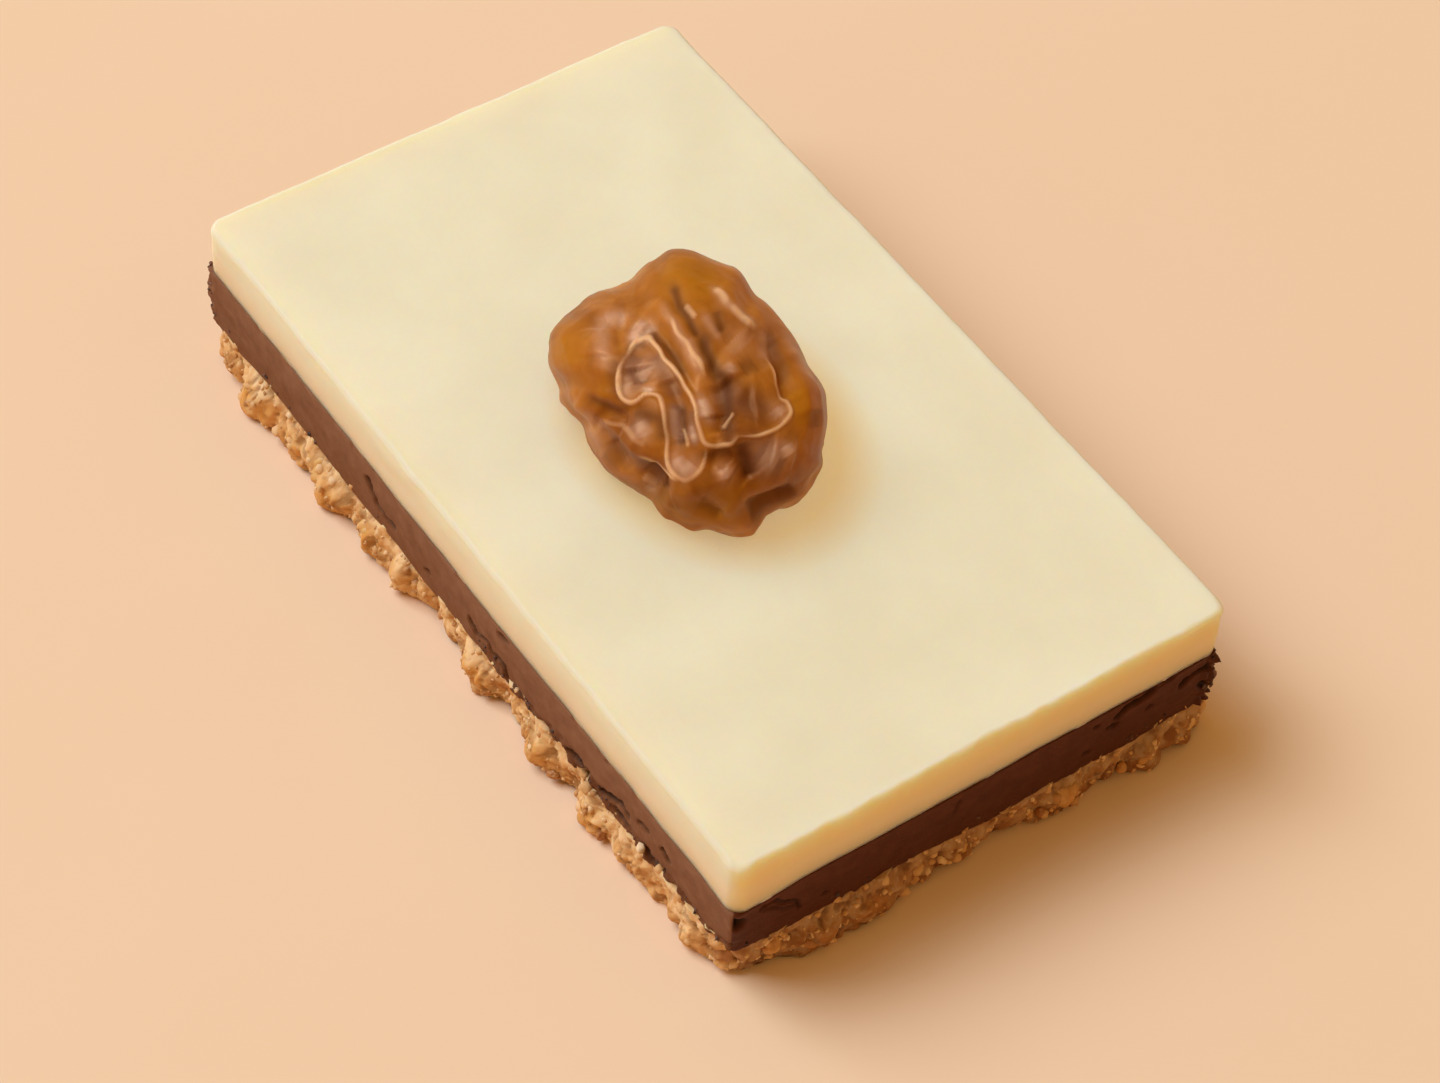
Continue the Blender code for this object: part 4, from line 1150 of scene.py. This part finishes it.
def date_material():
    s = Surface("date_skin")
    mottle = s.noise(0.0060, 4.0, 0.55, 0.3)
    colour = s.ramp(
        mottle,
        (0.32, rgb(136, 70, 10)),
        (0.48, rgb(162, 90, 20)),
        (0.62, rgb(178, 104, 28)),
        (0.76, rgb(192, 120, 42)),
    )
    # Clear amber, partly the skin's own and partly painted light glowing through its thin edges
    colour = s.mix(s.attribute("amber"), colour, rgb(172, 102, 4))
    # Painted shade: the hollows and valleys of the skin are darkened
    colour = s.mix(s.math("MULTIPLY", s.between(s.attribute("hollow_shade"), 0.1, 1.2), 0.55), colour, rgb(112, 48, 6))
    # Mauve in the basins, partly the skin's own and partly a painted reflection
    mauve = s.mix(s.noise(0.0013, 4.0, 0.6), rgb(88, 44, 26), rgb(130, 80, 58))
    colour = s.mix(s.math("MULTIPLY", s.attribute("mauve"), 0.85), colour, mauve)
    # Painted highlights: pale pinkish patches where the skin catches the lamp
    pale = s.mix(s.noise(0.0016, 3.0), rgb(194, 142, 104), rgb(224, 178, 146))
    colour = s.mix(s.attribute("pale"), colour, pale)
    # Dark patches, partly the skin's own and partly painted shade in the valleys and along the lower edge
    colour = s.mix(s.math("MULTIPLY", s.attribute("dark"), 0.9), colour, rgb(76, 28, 3))
    # Painted highlight: the thin raised rims are coloured pale
    colour = s.mix(s.between(s.attribute("rim"), 0.05, 0.22, 0.0, 0.82), colour, rgb(228, 176, 126))
    veins = s.between(s.noise(0.0016, 4.0, 0.6, 0.6), 0.56, 0.68)
    colour = s.mix(s.math("MULTIPLY", veins, 0.14), colour, rgb(110, 54, 12))
    bump = s.bump(s.noise(0.0016, 3.0, 0.5, 0.4), 0.00008, 0.3)
    bump = s.bump(s.noise(0.0005, 3.0, 0.6), 0.00002, 0.25, bump)
    s.set(
        Base_Color=colour,
        Roughness=s.math("ADD", s.between(s.noise(0.0025, 4.0), 0.3, 0.7, 0.34, 0.46), s.between(s.attribute("dark"), 0, 1, 0, 0.3)),
        Normal=bump,
        Subsurface_Weight=0.4,
        Subsurface_Scale=0.0016,
        Specular_IOR_Level=0.50,
        Specular_Tint=(1.0, 0.48, 0.20, 1.0),
    )
    s.shader.inputs["Subsurface Radius"].default_value = (1.0, 0.38, 0.06)
    return s.material


def floor_material():
    s = Surface("plain_floor")
    colour = s.mix(s.between(s.noise(0.08, 3.0), 0.35, 0.65), rgb(237, 199, 161), rgb(238, 201, 164))
    s.set(Base_Color=colour, Roughness=0.85, Specular_IOR_Level=0.2)
    return s.material


# The set


def make_floor():
    bm = bmesh.new()
    bmesh.ops.create_grid(bm, x_segments=1, y_segments=1, size=3.0)
    mesh = bpy.data.meshes.new("floor")
    bm.to_mesh(mesh)
    bm.free()
    mesh.materials.append(floor_material())
    floor = bpy.data.objects.new("floor", mesh)
    bpy.context.scene.collection.objects.link(floor)


def make_camera():
    """Looks at the bar from the photo's side, a little rolled."""
    level = math.cos(VIEW_ELEVATION)
    back = Vector((math.sin(VIEW_AZIMUTH) * level, -math.cos(VIEW_AZIMUTH) * level, math.sin(VIEW_ELEVATION)))
    right = Vector((0, 0, 1)).cross(back).normalized()
    up = back.cross(right)
    c, s = math.cos(VIEW_ROLL), math.sin(VIEW_ROLL)
    right, up = right * c + up * s, up * c - right * s
    data = bpy.data.cameras.new("camera")
    data.lens = VIEW_LENS_MM
    data.sensor_width = SENSOR_MM
    data.clip_start = 0.01
    camera = bpy.data.objects.new("camera", data)
    camera.matrix_world = Matrix.Translation(VIEW_TARGET + back * VIEW_DISTANCE) @ (
        Matrix((right, up, back)).transposed().to_4x4()
    )
    bpy.context.scene.collection.objects.link(camera)
    bpy.context.scene.camera = camera


def make_light(name, direction, distance, size, power, colour):
    data = bpy.data.lights.new(name, "AREA")
    data.shape = "RECTANGLE"
    data.size, data.size_y = size
    data.energy = power
    data.color = colour
    lamp = bpy.data.objects.new(name, data)
    direction = Vector(direction).normalized()
    lamp.location = direction * distance
    lamp.rotation_euler = direction.to_track_quat("Z", "Y").to_euler()
    bpy.context.scene.collection.objects.link(lamp)
    return lamp


def make_lights(date):
    world = bpy.data.worlds.new("studio")
    world.use_nodes = True
    sky = world.node_tree.nodes["Background"]
    sky.inputs["Color"].default_value = SKY_COLOUR
    sky.inputs["Strength"].default_value = SKY_STRENGTH
    bpy.context.scene.world = world
    make_light("key", KEY_DIRECTION, KEY_DISTANCE, (KEY_SIZE, KEY_SIZE), KEY_POWER * (1 - FILL_SHARE), KEY_COLOUR)
    fill = make_light("fill", KEY_DIRECTION, KEY_DISTANCE, (KEY_SIZE, KEY_SIZE), KEY_POWER * FILL_SHARE, KEY_COLOUR)
    blockers = bpy.data.collections.new("fill_passes")
    blockers.objects.link(date)
    fill.light_linking.blocker_collection = blockers
    blockers.collection_objects[0].light_linking.link_state = "EXCLUDE"
    bpy.context.scene.view_settings.view_transform = "Standard"


def dress(thing, material, node=None):
    thing.data.materials.append(material)
    if node:
        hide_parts(node)
    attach(thing, "root")


def main():
    crust = slab("biscuit_crust", side_stations(CRUST_ROWS, (0.0012, 0.0042)), CRUST_CORNER, CRUST_COUNTS, shape_crust)
    chocolate = slab(
        "chocolate", side_stations(CHOCOLATE_ROWS, (0.0012, 0.0042)), CHOCOLATE_CORNER, CHOCOLATE_COUNTS, shape_chocolate
    )
    cream = slab("cheesecake", cream_stations(), CREAM_CORNER, CREAM_COUNTS, shape_cream)
    date = make_date()
    nuggets = make_nuggets()
    crumbs = make_crumbs(crust)
    flakes = make_flakes(chocolate)
    dress(crust, crust_material(), "crust")
    dress(chocolate, chocolate_material(), "chocolate_layer")
    dress(cream, cream_material(), "cheesecake_layer")
    dress(date, date_material(), "date")
    dress(nuggets, bits_material())
    dress(crumbs, crumb_material())
    dress(flakes, flake_material())
    make_floor()
    make_camera()
    make_lights(date)


main()
